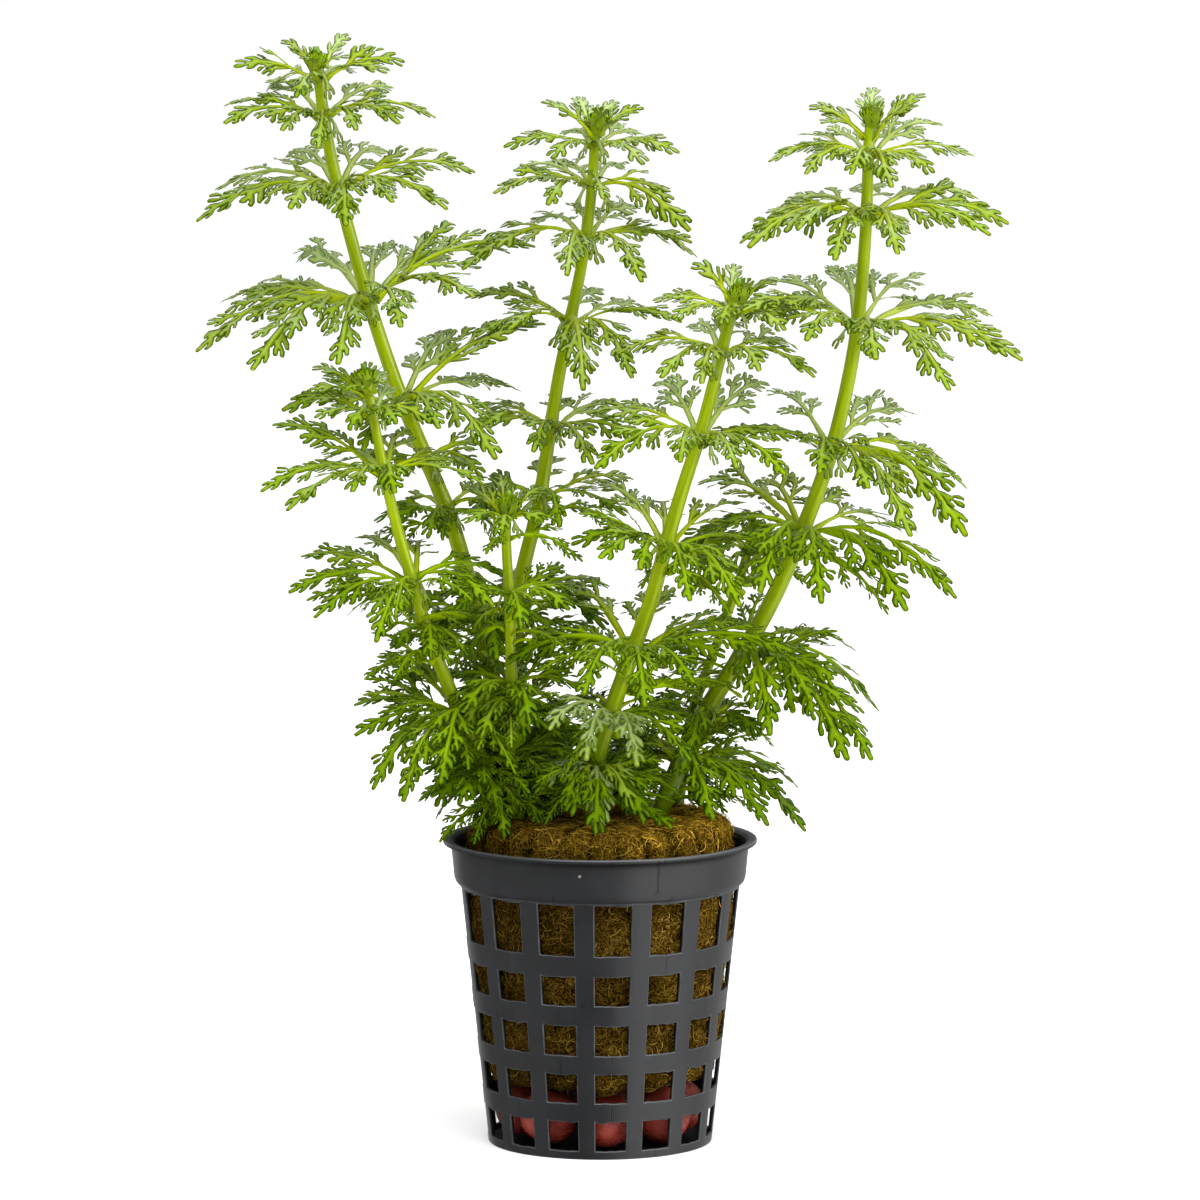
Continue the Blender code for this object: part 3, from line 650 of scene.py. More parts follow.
def bend_leaf(plan, leaf, dice, mirror, roll=LEAF_ROLL, curl=None):
    """Lay a flat plan along a leaf's midrib and let its pinnae droop. Returns its points."""
    line, reach = spine(leaf)
    last = len(line) - 1
    scale = reach / (plan.length * MM)
    ways, across, above = leaf_sides(leaf, line, roll, dice)
    place = np.clip(plan.x / plan.length, -0.05, 1.02) * last
    knots = np.arange(len(line))
    point, side, lift = (between_rows(place, knots, rows) for rows in (line, across, above))
    past = ((place - np.clip(place, 0, last)) * reach / last)[:, None]
    point += past * np.where(past > 0, ways[-1], ways[0])
    y = plan.y * MM * scale * (-1 if mirror else 1)
    sideways, height = droop(plan, y, scale, curl, dice)
    return point + side * sideways[:, None] + lift * (height + plan.z * MM * scale)[:, None]


# How much darker parts of a leaf are, in tone
LOBE_TIP_SHADE = 0.06
LEAF_TIP_SHADE = 0.10
FOOT_SHADE = 0.16               # just above the wool
LIT_SIDE = 0.3                  # share of a leaf's shade that is painted light: leaves that grow further to the right are painted lighter, as if lit from the right
PALE_TONE = 0.2                 # leaves of this tone or more are pale all over


class WhorlMesh:
    """Collects bent leaves into one mesh with the values that colour them."""

    def __init__(self):
        self.points, self.faces, self.looks, self.under = [], [], [], []
        self.count = 0

    def add(self, plan, leaf, dice, tone=0.0, green=None, **bending):
        """Add a leaf. A green of 0 is a stalk's colour, 1 a lobe's."""
        mirror = dice.random() < 0.5
        points = bend_leaf(plan, leaf, dice, mirror, **bending)
        reach = plan.x / plan.length
        if green is None:
            green = smoothstep(0.12, 0.58, reach) * np.minimum(0.68 + 0.32 * plan.lobe, 1)
            green = np.maximum(green, smoothstep(0.55, 1.05, plan.lobe))
        green = np.broadcast_to(green, len(points))
        self.points.append(points)
        self.faces.append((plan.faces[:, ::-1] if mirror else plan.faces) + self.count)
        self.under.append(plan.under)
        tones = 0.5 + tone - LOBE_TIP_SHADE * smoothstep(1.0, 1.0 + TIP_DEPTH, plan.lobe)
        tones -= LEAF_TIP_SHADE * smoothstep(0.60, 1.0, reach)
        if tone < PALE_TONE:
            tones -= FOOT_SHADE * (1 - smoothstep(53 * MM, 66 * MM, points[:, 2]))
        # Painted light: the shade channel is partly random per pinna and partly lighter for leaves whose
        # tips reach further right.
        shade = (1 - LIT_SIDE) * plan.shade + LIT_SIDE * float(smoothstep(-35 * MM, 45 * MM, leaf.tip.x))
        self.looks.append(np.stack([green, plan.edge, shade, tones], axis=1))
        self.count += len(points)

    def make(self, name):
        mesh = bpy.data.meshes.new(name)
        points, faces, under = (np.concatenate(parts) for parts in (self.points, self.faces, self.under))
        mesh.from_pydata(points, [], faces.tolist(), shade_flat=False)
        mesh.polygons.foreach_set("use_smooth", ~under)
        keep_values(mesh, "leaf_look", np.concatenate(self.looks))
        keep_values(mesh, "leaf_under", under, "FACE")
        return add_mesh(mesh)


# Stems
STEM_SIDES = 22
STEM_STEP = 0.7 * MM
STEM_THINNING = 0.97
STEM_TOP = 0.55                 # radius at the top over the one below it
NODE_SWELL, NODE_REACH = 0.10, 1.6 * MM
RING_DEPTH, RING_REACH = 0.035, 0.35 * MM
FLUTES = ((4, 0.022), (11, 0.012))      # how many run up a stem, and how deep over its radius
STREAK_STRETCH = 0.06           # streaks are this much shorter in a stem's own place than along it


def stem_rings(shoot):
    """Centres and radii of a packed stem's sections, from its foot to below its bud, and its top."""
    shape = corners_of(f"shoot_{shoot}_stem")
    foot = min(vert.co.z for vert in shape.verts)
    layer = {vert for vert in shape.verts if vert.co.z < foot + 3 * MM}
    seen, centres, radii = set(), [], []
    while layer:
        centre = middle_of(layer)
        centres.append(centre)
        radii.append(float(np.mean(sorted((vert.co - centre).length for vert in layer))))
        seen |= layer
        layer = {edge.other_vert(vert) for vert in layer for edge in vert.link_edges} - seen
    shape.free()
    return centres[:-2], radii[:-2], centres[-1]


def smooth_line(points, step):
    """A smooth line through points. Returns even samples, and how far along they and the points are."""
    points = np.array(points)
    reach = travelled(points)
    slopes = np.gradient(points, reach, axis=0)
    even = np.linspace(0, reach[-1], max(2, round(reach[-1] / step)))
    i = np.clip(np.searchsorted(reach, even, side="right") - 1, 0, len(reach) - 2)
    width = (reach[i + 1] - reach[i])[:, None]
    t = ((even - reach[i]) / width[:, 0])[:, None]
    line = ((2 * t**3 - 3 * t**2 + 1) * points[i] + (t**3 - 2 * t**2 + t) * width * slopes[i]
            + (3 * t**2 - 2 * t**3) * points[i + 1] + (t**3 - t**2) * width * slopes[i + 1])
    return line, even, reach


def make_stem(shoot, nodes, dice):
    """A fluted stem with a swelling and a fine ring at every node, closed over at its top."""
    centres, widths, top = stem_rings(shoot)
    line, even, reach = smooth_line(centres + [top], STEM_STEP)
    radii = np.interp(even, reach, widths + [widths[-1] * STEM_TOP])
    nodes = np.array([tuple(node) for node in nodes])
    near = np.linalg.norm(line[:, None, :] - nodes[None, :, :], axis=2).min(axis=1)
    knot = np.exp(-(near / NODE_REACH) ** 2)
    ring = np.exp(-(near / RING_REACH) ** 2)
    radii = radii * (STEM_THINNING + NODE_SWELL * knot - RING_DEPTH * ring)
    ways = unit_rows(np.gradient(line, axis=0))
    across = unit_rows(np.cross(ways, (0, 1, 0)))
    behind = np.cross(ways, across)
    angles = np.linspace(0, 2 * math.pi, STEM_SIDES, endpoint=False)
    phase = dice.uniform(0, 6)
    waves = [depth * np.cos(count * angles + (i + 1) * phase) for i, (count, depth) in enumerate(FLUTES)]
    flute = 1 + sum(waves)
    shape = bmesh.new()
    tube = []
    for place, radius, one, two in zip(line, radii, across, behind):
        tube.append([shape.verts.new(place + radius * k * (math.cos(a) * one + math.sin(a) * two))
                     for a, k in zip(angles, flute)])
    join_rings(shape, tube)
    shape.faces.new(tube[0][::-1])
    shape.faces.new(tube[-1])
    bmesh.ops.recalc_face_normals(shape, faces=shape.faces)
    stem = add_shape(shape, f"stem_{shoot}")
    share = (line[:, 2] - line[0, 2]) / (line[-1, 2] - line[0, 2])
    looks = np.stack([knot, ring, share, np.ones(len(line))], axis=1)
    keep_values(stem.data, "stem_look", np.repeat(looks, STEM_SIDES, axis=0))
    keep_values(stem.data, "stem_place", [(math.cos(a), math.sin(a), STREAK_STRETCH * height)
                                          for height in even / radii.mean() for a in angles])
    return stem


def direction(azimuth, climb=0.0):
    """A direction with a compass angle and an angle above the level, both in radians."""
    level = math.cos(climb)
    return Vector((math.cos(azimuth) * level, math.sin(azimuth) * level, math.sin(climb)))


# Tiers of bud scales in mm: how many, length, height from the stem's top, radii of foot and tip, and tone
BUD_TIERS = ((6, 3.1, -4.3, 0.90, 1.30, -0.14), (5, 2.6, -3.5, 0.65, 0.80, -0.20),
             (4, 2.2, -2.9, 0.30, 0.25, -0.24))
BUD_BULGE = 0.55 * MM
BUD_LEAVES = 4
BUD_LEAF_FOOT = Vector((0, 0, -4.2)) * MM       # from the stem's top
SMALL_LEAF = 6 * MM


def grow_bud(mesh, plans, top, dice):
    """A small cup of scales round the top of a stem, with a few young leaves rising round it."""
    for tier, (count, length, foot, low_radius, high_radius, tone) in enumerate(BUD_TIERS):
        for i in range(count):
            out = direction(2 * math.pi * (i + 0.5 * tier + dice.uniform(-0.12, 0.12)) / count)
            reach = length * dice.uniform(0.88, 1.10)
            tip = top + out * high_radius * MM * dice.uniform(0.85, 1.15) + UP * (foot + reach) * MM
            leaf = Leaf(top + out * low_radius * MM + UP * foot * MM, tip, out * BUD_BULGE)
            mesh.add(dice.choice(plans.bud), leaf, dice, tone=tone, green=0.75, roll=0.0, curl=0.30)
    for i in range(BUD_LEAVES):
        azimuth = 2 * math.pi * (i + dice.uniform(-0.25, 0.25)) / BUD_LEAVES
        out = direction(azimuth, math.radians(dice.uniform(25, 62)))
        base = top + direction(azimuth) * 0.9 * MM + BUD_LEAF_FOOT
        leaf = Leaf(base, base + out * dice.uniform(4.4, 6.2) * MM)
        mesh.add(plans.pick_broad(SMALL_LEAF, dice), leaf, dice, roll=0.0, curl=0.12)


# Whorls
LEAF_FOOT_MM = 0.9              # how far a whorl's leaves reach into the stem
OLD_AND_SHADED_TONE = -0.34                # of the lowest leaves, older and darker, with painted shade of the dense base
OLD_SHADED_LEAVES, YOUNG_LEAVES = 75 * MM, 140 * MM    # heights up to which they are old and painted in shade, and from which young and unshaded
TONE_SPREAD = 0.07
BACKLIT_TONE = 0.30                # painted backlight: added to leaves that grow backward, which are painted pale
PALE_WHORL, PALE_WHORL_TONE = "shoot_c_whorl_6", 0.24   # of its leaves that grow to the front
CLASPING_LEAVES = 2             # small ones in front of each node
CLASPING_SPREAD = math.radians(62)
THREAD_LEAVES = 13              # most thin leaves between a whorl's own
LONGEST_THREAD, SHORTEST_REACH = 16 * MM, 13 * MM
NO_THREADS, ALL_THREADS = 118 * MM, 80 * MM     # heights between which their number grows
SKIRT_LEAVES = 34               # short ones between a shoot's foot and its lowest whorl
SKIRT_TURN = 2 * math.pi * 0.618        # from one of those to the next
LOWEST_WHORLS = {"a": 9, "b": 8, "c": 7, "d": 8, "e": 6, "f": 3}
WOOL_TOP = 54.6 * MM
FRONT = math.radians(-90)
BARE_SHOOTS = ("b", "c", "d")   # their stems show between the low leaves
BARE_FRONT = -0.78              # a leaf whose heading has a lower Y than this would hide them
# Tips in mm, and tones, of the leaves that hang in front of one shoot's foot
FRONT_SHOOT = "c"
FRONT_LEAVES = ((-9.6, -16.0, 61.0, 0.26), (0.6, -19.0, 54.3, 0.30), (5.5, -18.0, 58.0, -0.02),
                (-4.5, -19.0, 57.0, -0.08))
FRONT_BOW = Vector((0, -1, 0.6)) * 1.2 * MM


def above_pot(tip):
    """A leaf's tip, lifted out of the wool or off the pot's lip."""
    edge = float(smoothstep(19 * MM, 23 * MM, math.hypot(tip.x, tip.y)))
    tip.z = max(tip.z, WOOL_TOP + 0.5 * MM - 3.4 * MM * edge)
    return tip


def leaf_tone(name, base, tip, dice):
    """How light a leaf is: low leaves are old and darker, with painted shade of the dense base; the ones
    behind are pale with painted backlight, and a few in front are pale.
    """
    # Lower leaves are older and darker, and painted in the shade of the dense base.
    tone = OLD_AND_SHADED_TONE * (1 - float(smoothstep(OLD_SHADED_LEAVES, YOUNG_LEAVES, base.z)))
    tone += dice.uniform(-TONE_SPREAD, TONE_SPREAD)
    way = (tip - base).normalized()
    # Painted backlight: leaves that grow backward are made paler.
    tone += BACKLIT_TONE * float(smoothstep(0.25, 0.80, way.y))
    return PALE_WHORL_TONE if name == PALE_WHORL and way.y < -0.80 else tone


def make_whorls(plans):
    """Every packed whorl as a mesh of divided leaves. Returns the nodes of each shoot, and the meshes."""
    dice = random.Random(5)
    nodes, made = {}, []
    for name in sorted(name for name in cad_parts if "_whorl_" in name):
        _, shoot, _, number = name.split("_")
        ends = leaves_of(name)
        node = sum((base for base, _ in ends), Vector()) / len(ends)
        mesh = WhorlMesh()
        for base, tip in ends:
            out = Vector((base.x - node.x, base.y - node.y, 0))
            leaf = Leaf(base - out.normalized() * LEAF_FOOT_MM * MM, tip)
            mesh.add(plans.pick_broad(leaf.length, dice), leaf, dice, tone=leaf_tone(name, base, tip, dice))
        low = min(base.z for base, _ in ends)
        nodes.setdefault(shoot, []).append(Vector((node.x, node.y, low + 0.8 * MM)))
        fill_whorl(mesh, plans, shoot, node, ends, dice)
        if number == "1":
            grow_bud(mesh, plans, stem_rings(shoot)[2], dice)
        if int(number) == LOWEST_WHORLS.get(shoot):
            grow_skirt(mesh, plans, shoot, node, dice)
        made.append(mesh.make(f"leaves_{shoot}_{number}"))
        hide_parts(name)
    return nodes, made


def hides_stem(shoot, azimuth):
    """Whether a leaf would grow straight to the front of a stem that shows."""
    return shoot in BARE_SHOOTS and math.sin(azimuth) < BARE_FRONT


def fill_whorl(mesh, plans, shoot, node, ends, dice):
    """Small leaves that clasp the stem in front, and low on the plant thin ones between a whorl's own."""
    depth = float(smoothstep(NO_THREADS, ALL_THREADS, node.z))
    for i in range(CLASPING_LEAVES):
        azimuth = FRONT + (i - 0.5) * CLASPING_SPREAD + dice.uniform(-0.3, 0.3)
        out = direction(azimuth, math.radians(dice.uniform(-62, -38)))
        base = node + direction(azimuth) * 1.1 * MM
        leaf = Leaf(base, base + out * dice.uniform(4.0, 5.6) * MM)
        tone = dice.uniform(0.18, 0.30) * (1 - 0.8 * depth)
        mesh.add(plans.pick_broad(SMALL_LEAF, dice), leaf, dice, tone=tone, green=0.85, roll=0.0, curl=0.04)
    reach = max(SHORTEST_REACH, *((tip - base).length for base, tip in ends))
    count = round(THREAD_LEAVES * depth)
    for i in range(count):
        azimuth = 2 * math.pi * (i + dice.uniform(-0.3, 0.3)) / count
        if hides_stem(shoot, azimuth):
            continue
        out = direction(azimuth, math.radians(dice.uniform(-40, 32)))
        length = min(reach * dice.uniform(0.55, 0.95), LONGEST_THREAD)
        base = node + direction(azimuth) * 1.0 * MM - UP * dice.uniform(0, 0.3) * (node.z - WOOL_TOP) * depth
        leaf = Leaf(base, above_pot(base + out * length))
        mesh.add(plans.pick_thread(length, dice), leaf, dice, tone=dice.uniform(-0.28, -0.10))


def grow_skirt(mesh, plans, shoot, node, dice):
    """Short leaves from the foot of a shoot up to its lowest whorl, and those that hang in front."""
    centres = np.array(stem_rings(shoot)[0])
    for i in range(SKIRT_LEAVES):
        z = WOOL_TOP + 1.5 * MM + (node.z - WOOL_TOP) * dice.uniform(0, 1)
        centre = Vector(between_rows([z], centres[:, 2], centres)[0])
        azimuth = SKIRT_TURN * i + 2 * math.pi * dice.uniform(-0.05, 0.05)
        if hides_stem(shoot, azimuth):
            continue
        out = direction(azimuth, math.radians(dice.uniform(-45, 38)))
        length = dice.uniform(9, 16) * MM
        leaf = Leaf(centre + direction(azimuth) * 0.8 * MM, above_pot(centre + out * length))
        pick = plans.pick_thread if dice.random() < 0.45 else plans.pick_broad
        mesh.add(pick(length, dice), leaf, dice, tone=dice.uniform(-0.32, -0.10))
    if shoot == FRONT_SHOOT:
        for *end, tone in FRONT_LEAVES:
            leaf = Leaf(node, Vector(end) * MM, FRONT_BOW)
            mesh.add(plans.pick_broad(leaf.length, dice), leaf, dice, tone=tone, roll=0.0, curl=0.05)


# Rock wool: radius and height in mm, from the middle of the crown to the middle of the foot
WOOL_PROFILE_MM = ((0.0, 54.4), (8.0, 54.6), (14.0, 54.6), (18.6, 54.4), (20.4, 53.8), (21.3, 52.4),
                   (21.7, 49.5), (22.2, 42.5), (21.4, 34.0), (20.5, 25.0), (19.6, 16.5), (19.1, 12.6),
                   (17.8, 11.3), (14.0, 11.2), (8.0, 11.3), (0.0, 11.3))
WOOL_AROUND = 220
WOOL_ROWS = 92
WOOL_FOLDS = 27                 # grooves down the crown's side
WOOL_LUMPS = ((130, 0.45), (330, 0.26), (900, 0.14))    # how many in a metre, and how high in mm
WOOL_MIDDLE = 38 * MM
FIBRES = 5600
FIBRE_SIDES = 3
FIBRE_ARCH = 1.6                # how much a fibre's middle rises, over its lift
LEAST_LIFT = 0.02 * MM
EDGE_LIFT = 1.8                 # how much more those at the crown's edge are lifted
EDGE_FIBRES = 0.16              # share that stand up at the edge of the crown
EDGE_TRAVEL_MM, ALL_TRAVEL_MM = (14, 24), (6, 68)       # where fibres start, from the crown's middle


class Wool:
    """The plug's surface: a turned profile with lumps, grooves round its crown and a ragged lower edge."""

    def __init__(self):
        self.profile = np.array(WOOL_PROFILE_MM) * MM
        self.reach = travelled(self.profile)

    def place(self, travel, angle):
        """A point of the smooth surface, by its travel in metres from the middle of the crown."""
        radius = np.interp(travel, self.reach, self.profile[:, 0])
        height = np.interp(travel, self.reach, self.profile[:, 1])
        return Vector((radius * math.cos(angle), radius * math.sin(angle), height))

    def out(self, place):
        """Away from the plug's middle, and upward on its crown."""
        rise = 0.6 * (place.z - WOOL_MIDDLE) if place.z > 51 * MM else 0
        return Vector((place.x, place.y, rise)).normalized()

    def relief(self, place, angle):
        """How far the rough surface stands out at a point of the smooth one, in mm."""
        lumps = sum(noise.noise(place * scale) * height for scale, height in WOOL_LUMPS)
        outer = float(smoothstep(12 * MM, 19 * MM, place.xy.length))
        crown = float(smoothstep(46 * MM, 51 * MM, place.z)) * outer
        groove = (1 - abs(math.sin(0.5 * angle * WOOL_FOLDS + 2.5 * noise.noise(place * 50)))) ** 2
        return lumps + crown * (0.25 - 0.85 * groove)

    def rough(self, travel, angle, lift=0.0):
        """A point of the rough surface, or one a little above it."""
        place = self.place(travel, angle)
        relief = self.relief(place, angle)
        ragged = float(smoothstep(14.5 * MM, 12 * MM, place.z))
        place.z += ragged * noise.noise(place * 200) * 1.5 * MM
        return place + self.out(place) * (relief * MM + lift)


def make_wool(wool):
    """A matted plug with a lumpy surface."""
    shape = bmesh.new()
    rings, reliefs = [], []
    angles = [2 * math.pi * i / WOOL_AROUND for i in range(WOOL_AROUND)]
    for row in range(1, WOOL_ROWS):
        travel = wool.reach[-1] * row / WOOL_ROWS
        rings.append([shape.verts.new(wool.rough(travel, angle)) for angle in angles])
        reliefs += [wool.relief(wool.place(travel, angle), angle) for angle in angles]
    crown = shape.verts.new(wool.place(0, 0))
    foot = shape.verts.new(wool.place(wool.reach[-1], 0))
    join_rings(shape, rings)
    for i in range(WOOL_AROUND):
        after = (i + 1) % WOOL_AROUND
        shape.faces.new((crown, rings[0][i], rings[0][after]))
        shape.faces.new((foot, rings[-1][after], rings[-1][i]))
    plug = add_shape(shape, "wool_plug")
    keep_values(plug.data, "wool_relief", reliefs + [0.0, 0.0])
    return plug


def fibre_line(wool, dice):
    """Points of a loose fibre that curls over the plug's surface."""
    on_edge = dice.random() < EDGE_FIBRES
    travel = dice.uniform(*(EDGE_TRAVEL_MM if on_edge else ALL_TRAVEL_MM)) * MM
    angle = dice.uniform(0, 2 * math.pi)
    heading = dice.uniform(0, 2 * math.pi)
    bend = dice.choice((-1, 1)) * dice.uniform(0.05, 0.85)
    step = dice.uniform(0.35, 0.75) * MM
    lift = dice.uniform(0.02, 0.32) * MM * (EDGE_LIFT if on_edge else 1.0)
    steps = dice.randint(4, 6)
    line = []
    for i in range(steps):
        arch = lift * math.sin(math.pi * (i + 0.3) / steps) * FIBRE_ARCH
        line.append(wool.rough(travel, angle, arch + LEAST_LIFT))
        heading += bend
        around = max(math.hypot(line[-1].x, line[-1].y), 3 * MM)
        travel += math.cos(heading) * step
        angle += math.sin(heading) * step / around
    return line


def make_fibres(wool, dice):
    """Loose fibres as thin three-sided tubes."""
    points, faces, shades = [], [], []
    turns = [2 * math.pi * k / FIBRE_SIDES for k in range(FIBRE_SIDES)]
    for _ in range(FIBRES):
        line = fibre_line(wool, dice)
        radius = dice.uniform(0.022, 0.045) * MM
        first = len(points)
        last = first + FIBRE_SIDES * (len(line) - 1)
        for i, place in enumerate(line):
            way = (line[min(i + 1, len(line) - 1)] - line[max(i - 1, 0)]).normalized()
            one = way.orthogonal().normalized()
            two = way.cross(one)
            points += [place + (one * math.cos(a) + two * math.sin(a)) * radius for a in turns]
        shades += [dice.random()] * (len(points) - first)
        for low in range(first, last, FIBRE_SIDES):
            for k in range(FIBRE_SIDES):
                a, b = low + k, low + (k + 1) % FIBRE_SIDES
                faces.append((a, b, b + FIBRE_SIDES, a + FIBRE_SIDES))
        faces.append((first + 2, first + 1, first))
        faces.append((last, last + 1, last + 2))
    mesh = bpy.data.meshes.new("wool_fibres")
    mesh.from_pydata(points, [], faces, shade_flat=False)
    keep_values(mesh, "fibre_shade", shades)
    return add_mesh(mesh)


# Dents of a clay ball: how many in a metre, and how deep over its radius
CLAY_DENTS = ((180, 0.055), (420, 0.022), (1100, 0.010))


def make_clay_ball(name):
    """A lumpy baked ball in the place of a packed one."""
    low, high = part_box(name)
    centre, radius = (low + high) / 2, (high - low).x / 2
    shape = bmesh.new()
    bmesh.ops.create_icosphere(shape, subdivisions=4, radius=radius)
    for vert in shape.verts:
        place = vert.co + centre * 7
        vert.co *= 1 + sum(noise.noise(place * scale) * depth for scale, depth in CLAY_DENTS)
        vert.co += centre
    ball = add_shape(shape, name.replace("clay_ball", "baked_ball"))
    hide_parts(name)
    return ball


# Net pot: radius and height of the middle of its wall, from the lip to the foot of its band
POT_PROFILE_MM = ((26.02, 50.35), (25.60, 50.35), (25.12, 50.35), (24.78, 50.26), (24.52, 50.00),
                  (24.36, 49.55), (24.20, 48.40), (24.02, 46.60), (23.88, 44.95), (23.80, 44.40),
                  (23.62, 43.92), (23.36, 43.62), (23.05, 43.42), (22.80, 43.10))
POT_FOOT_MM = (18.25, 0.35)     # radius and height where the wall ends
POT_SLOPE = (POT_PROFILE_MM[-1][0] - POT_FOOT_MM[0]) / (POT_PROFILE_MM[-1][1] - POT_FOOT_MM[1])
POT_WALL = 0.7 * MM
POT_ROUNDING = 0.20 * MM        # of every edge sharper than the angle below
POT_EDGE = math.radians(38)
POT_COLUMNS = 15
POT_WINDOW = math.radians(15.3)
POT_BAR = 2 * math.pi / POT_COLUMNS - POT_WINDOW
POT_FIRST_WINDOW = math.radians(-90 + 5.4)
# Heights of the upper and lower edges of each row of windows
POT_ROWS_MM = ((42.8, 34.3), (30.85, 25.95), (22.6, 17.55), (14.4, 9.5), (6.4, 1.4))
UPPER_SAG_MM, LOWER_SAG_MM = 0.13, 0.045        # how uneven those edges are
WINDOW_CUTS, BAR_CUTS = 6, 3    # corners across each window and bar


def pot_sections():
    """Radius and height of every ring of the pot, from its lip to its foot."""
    heights = [z for row in POT_ROWS_MM for z in row] + [POT_FOOT_MM[1]]
    return list(POT_PROFILE_MM) + [(POT_FOOT_MM[0] + (z - POT_FOOT_MM[1]) * POT_SLOPE, z) for z in heights]


def pot_columns():
    """Angles round the pot, and whether a window lies between each and the next."""
    angles, in_window = [], []
    for column in range(POT_COLUMNS):
        start = POT_FIRST_WINDOW + column * (POT_WINDOW + POT_BAR) - POT_WINDOW / 2
        angles += [start + POT_WINDOW * i / WINDOW_CUTS for i in range(WINDOW_CUTS)]
        angles += [start + POT_WINDOW + POT_BAR * i / BAR_CUTS for i in range(BAR_CUTS)]
        in_window += [True] * WINDOW_CUTS + [False] * BAR_CUTS
    return angles, in_window


def make_pot(dice):
    """The slotted pot: a shell with windows, thickened, with its edges rounded."""
    angles, in_window = pot_columns()
    upper_edges = {len(POT_PROFILE_MM) + 2 * row for row in range(len(POT_ROWS_MM))}
    shape = bmesh.new()
    rings = []
    for row, (radius, z) in enumerate(pot_sections()):
        ring = []
        for i, a in enumerate(angles):
            within = in_window[i] and in_window[i - 1]
            sag = 0.0
            if row in upper_edges:
                sag = abs(dice.gauss(0, UPPER_SAG_MM)) * within
            elif row - 1 in upper_edges:
                sag = dice.gauss(0, LOWER_SAG_MM) * within
            height = (z - sag) * MM
            ring.append(shape.verts.new((radius * math.cos(a) * MM, radius * math.sin(a) * MM, height)))
        rings.append(ring)
    join_rings(shape, rings, lambda row, i: row in upper_edges and in_window[i])
    shape.faces.new(rings[-1][::-1])
    pot = add_shape(shape, "slotted_pot")
    wall = pot.modifiers.new("wall", "SOLIDIFY")
    wall.thickness = POT_WALL
    wall.offset = 0
    wall.use_even_offset = True
    soften = pot.modifiers.new("soften", "BEVEL")
    soften.width = POT_ROUNDING
    soften.segments = 2
    soften.limit_method = "ANGLE"
    soften.angle_limit = POT_EDGE
    even = pot.modifiers.new("even", "WEIGHTED_NORMAL")
    even.mode = "FACE_AREA"
    even.weight = 60
    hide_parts("net_pot")
    return pot


# Positions on a ramp stand for heights up to this, and for places across this width round the middle
RAMP_REACH_MM = 100
RAMP_WIDTH_MM = 50


def with_alpha(value):
    """A colour of three numbers with its alpha. Anything else stays as it is."""
    return (*value, 1) if isinstance(value, tuple) else value


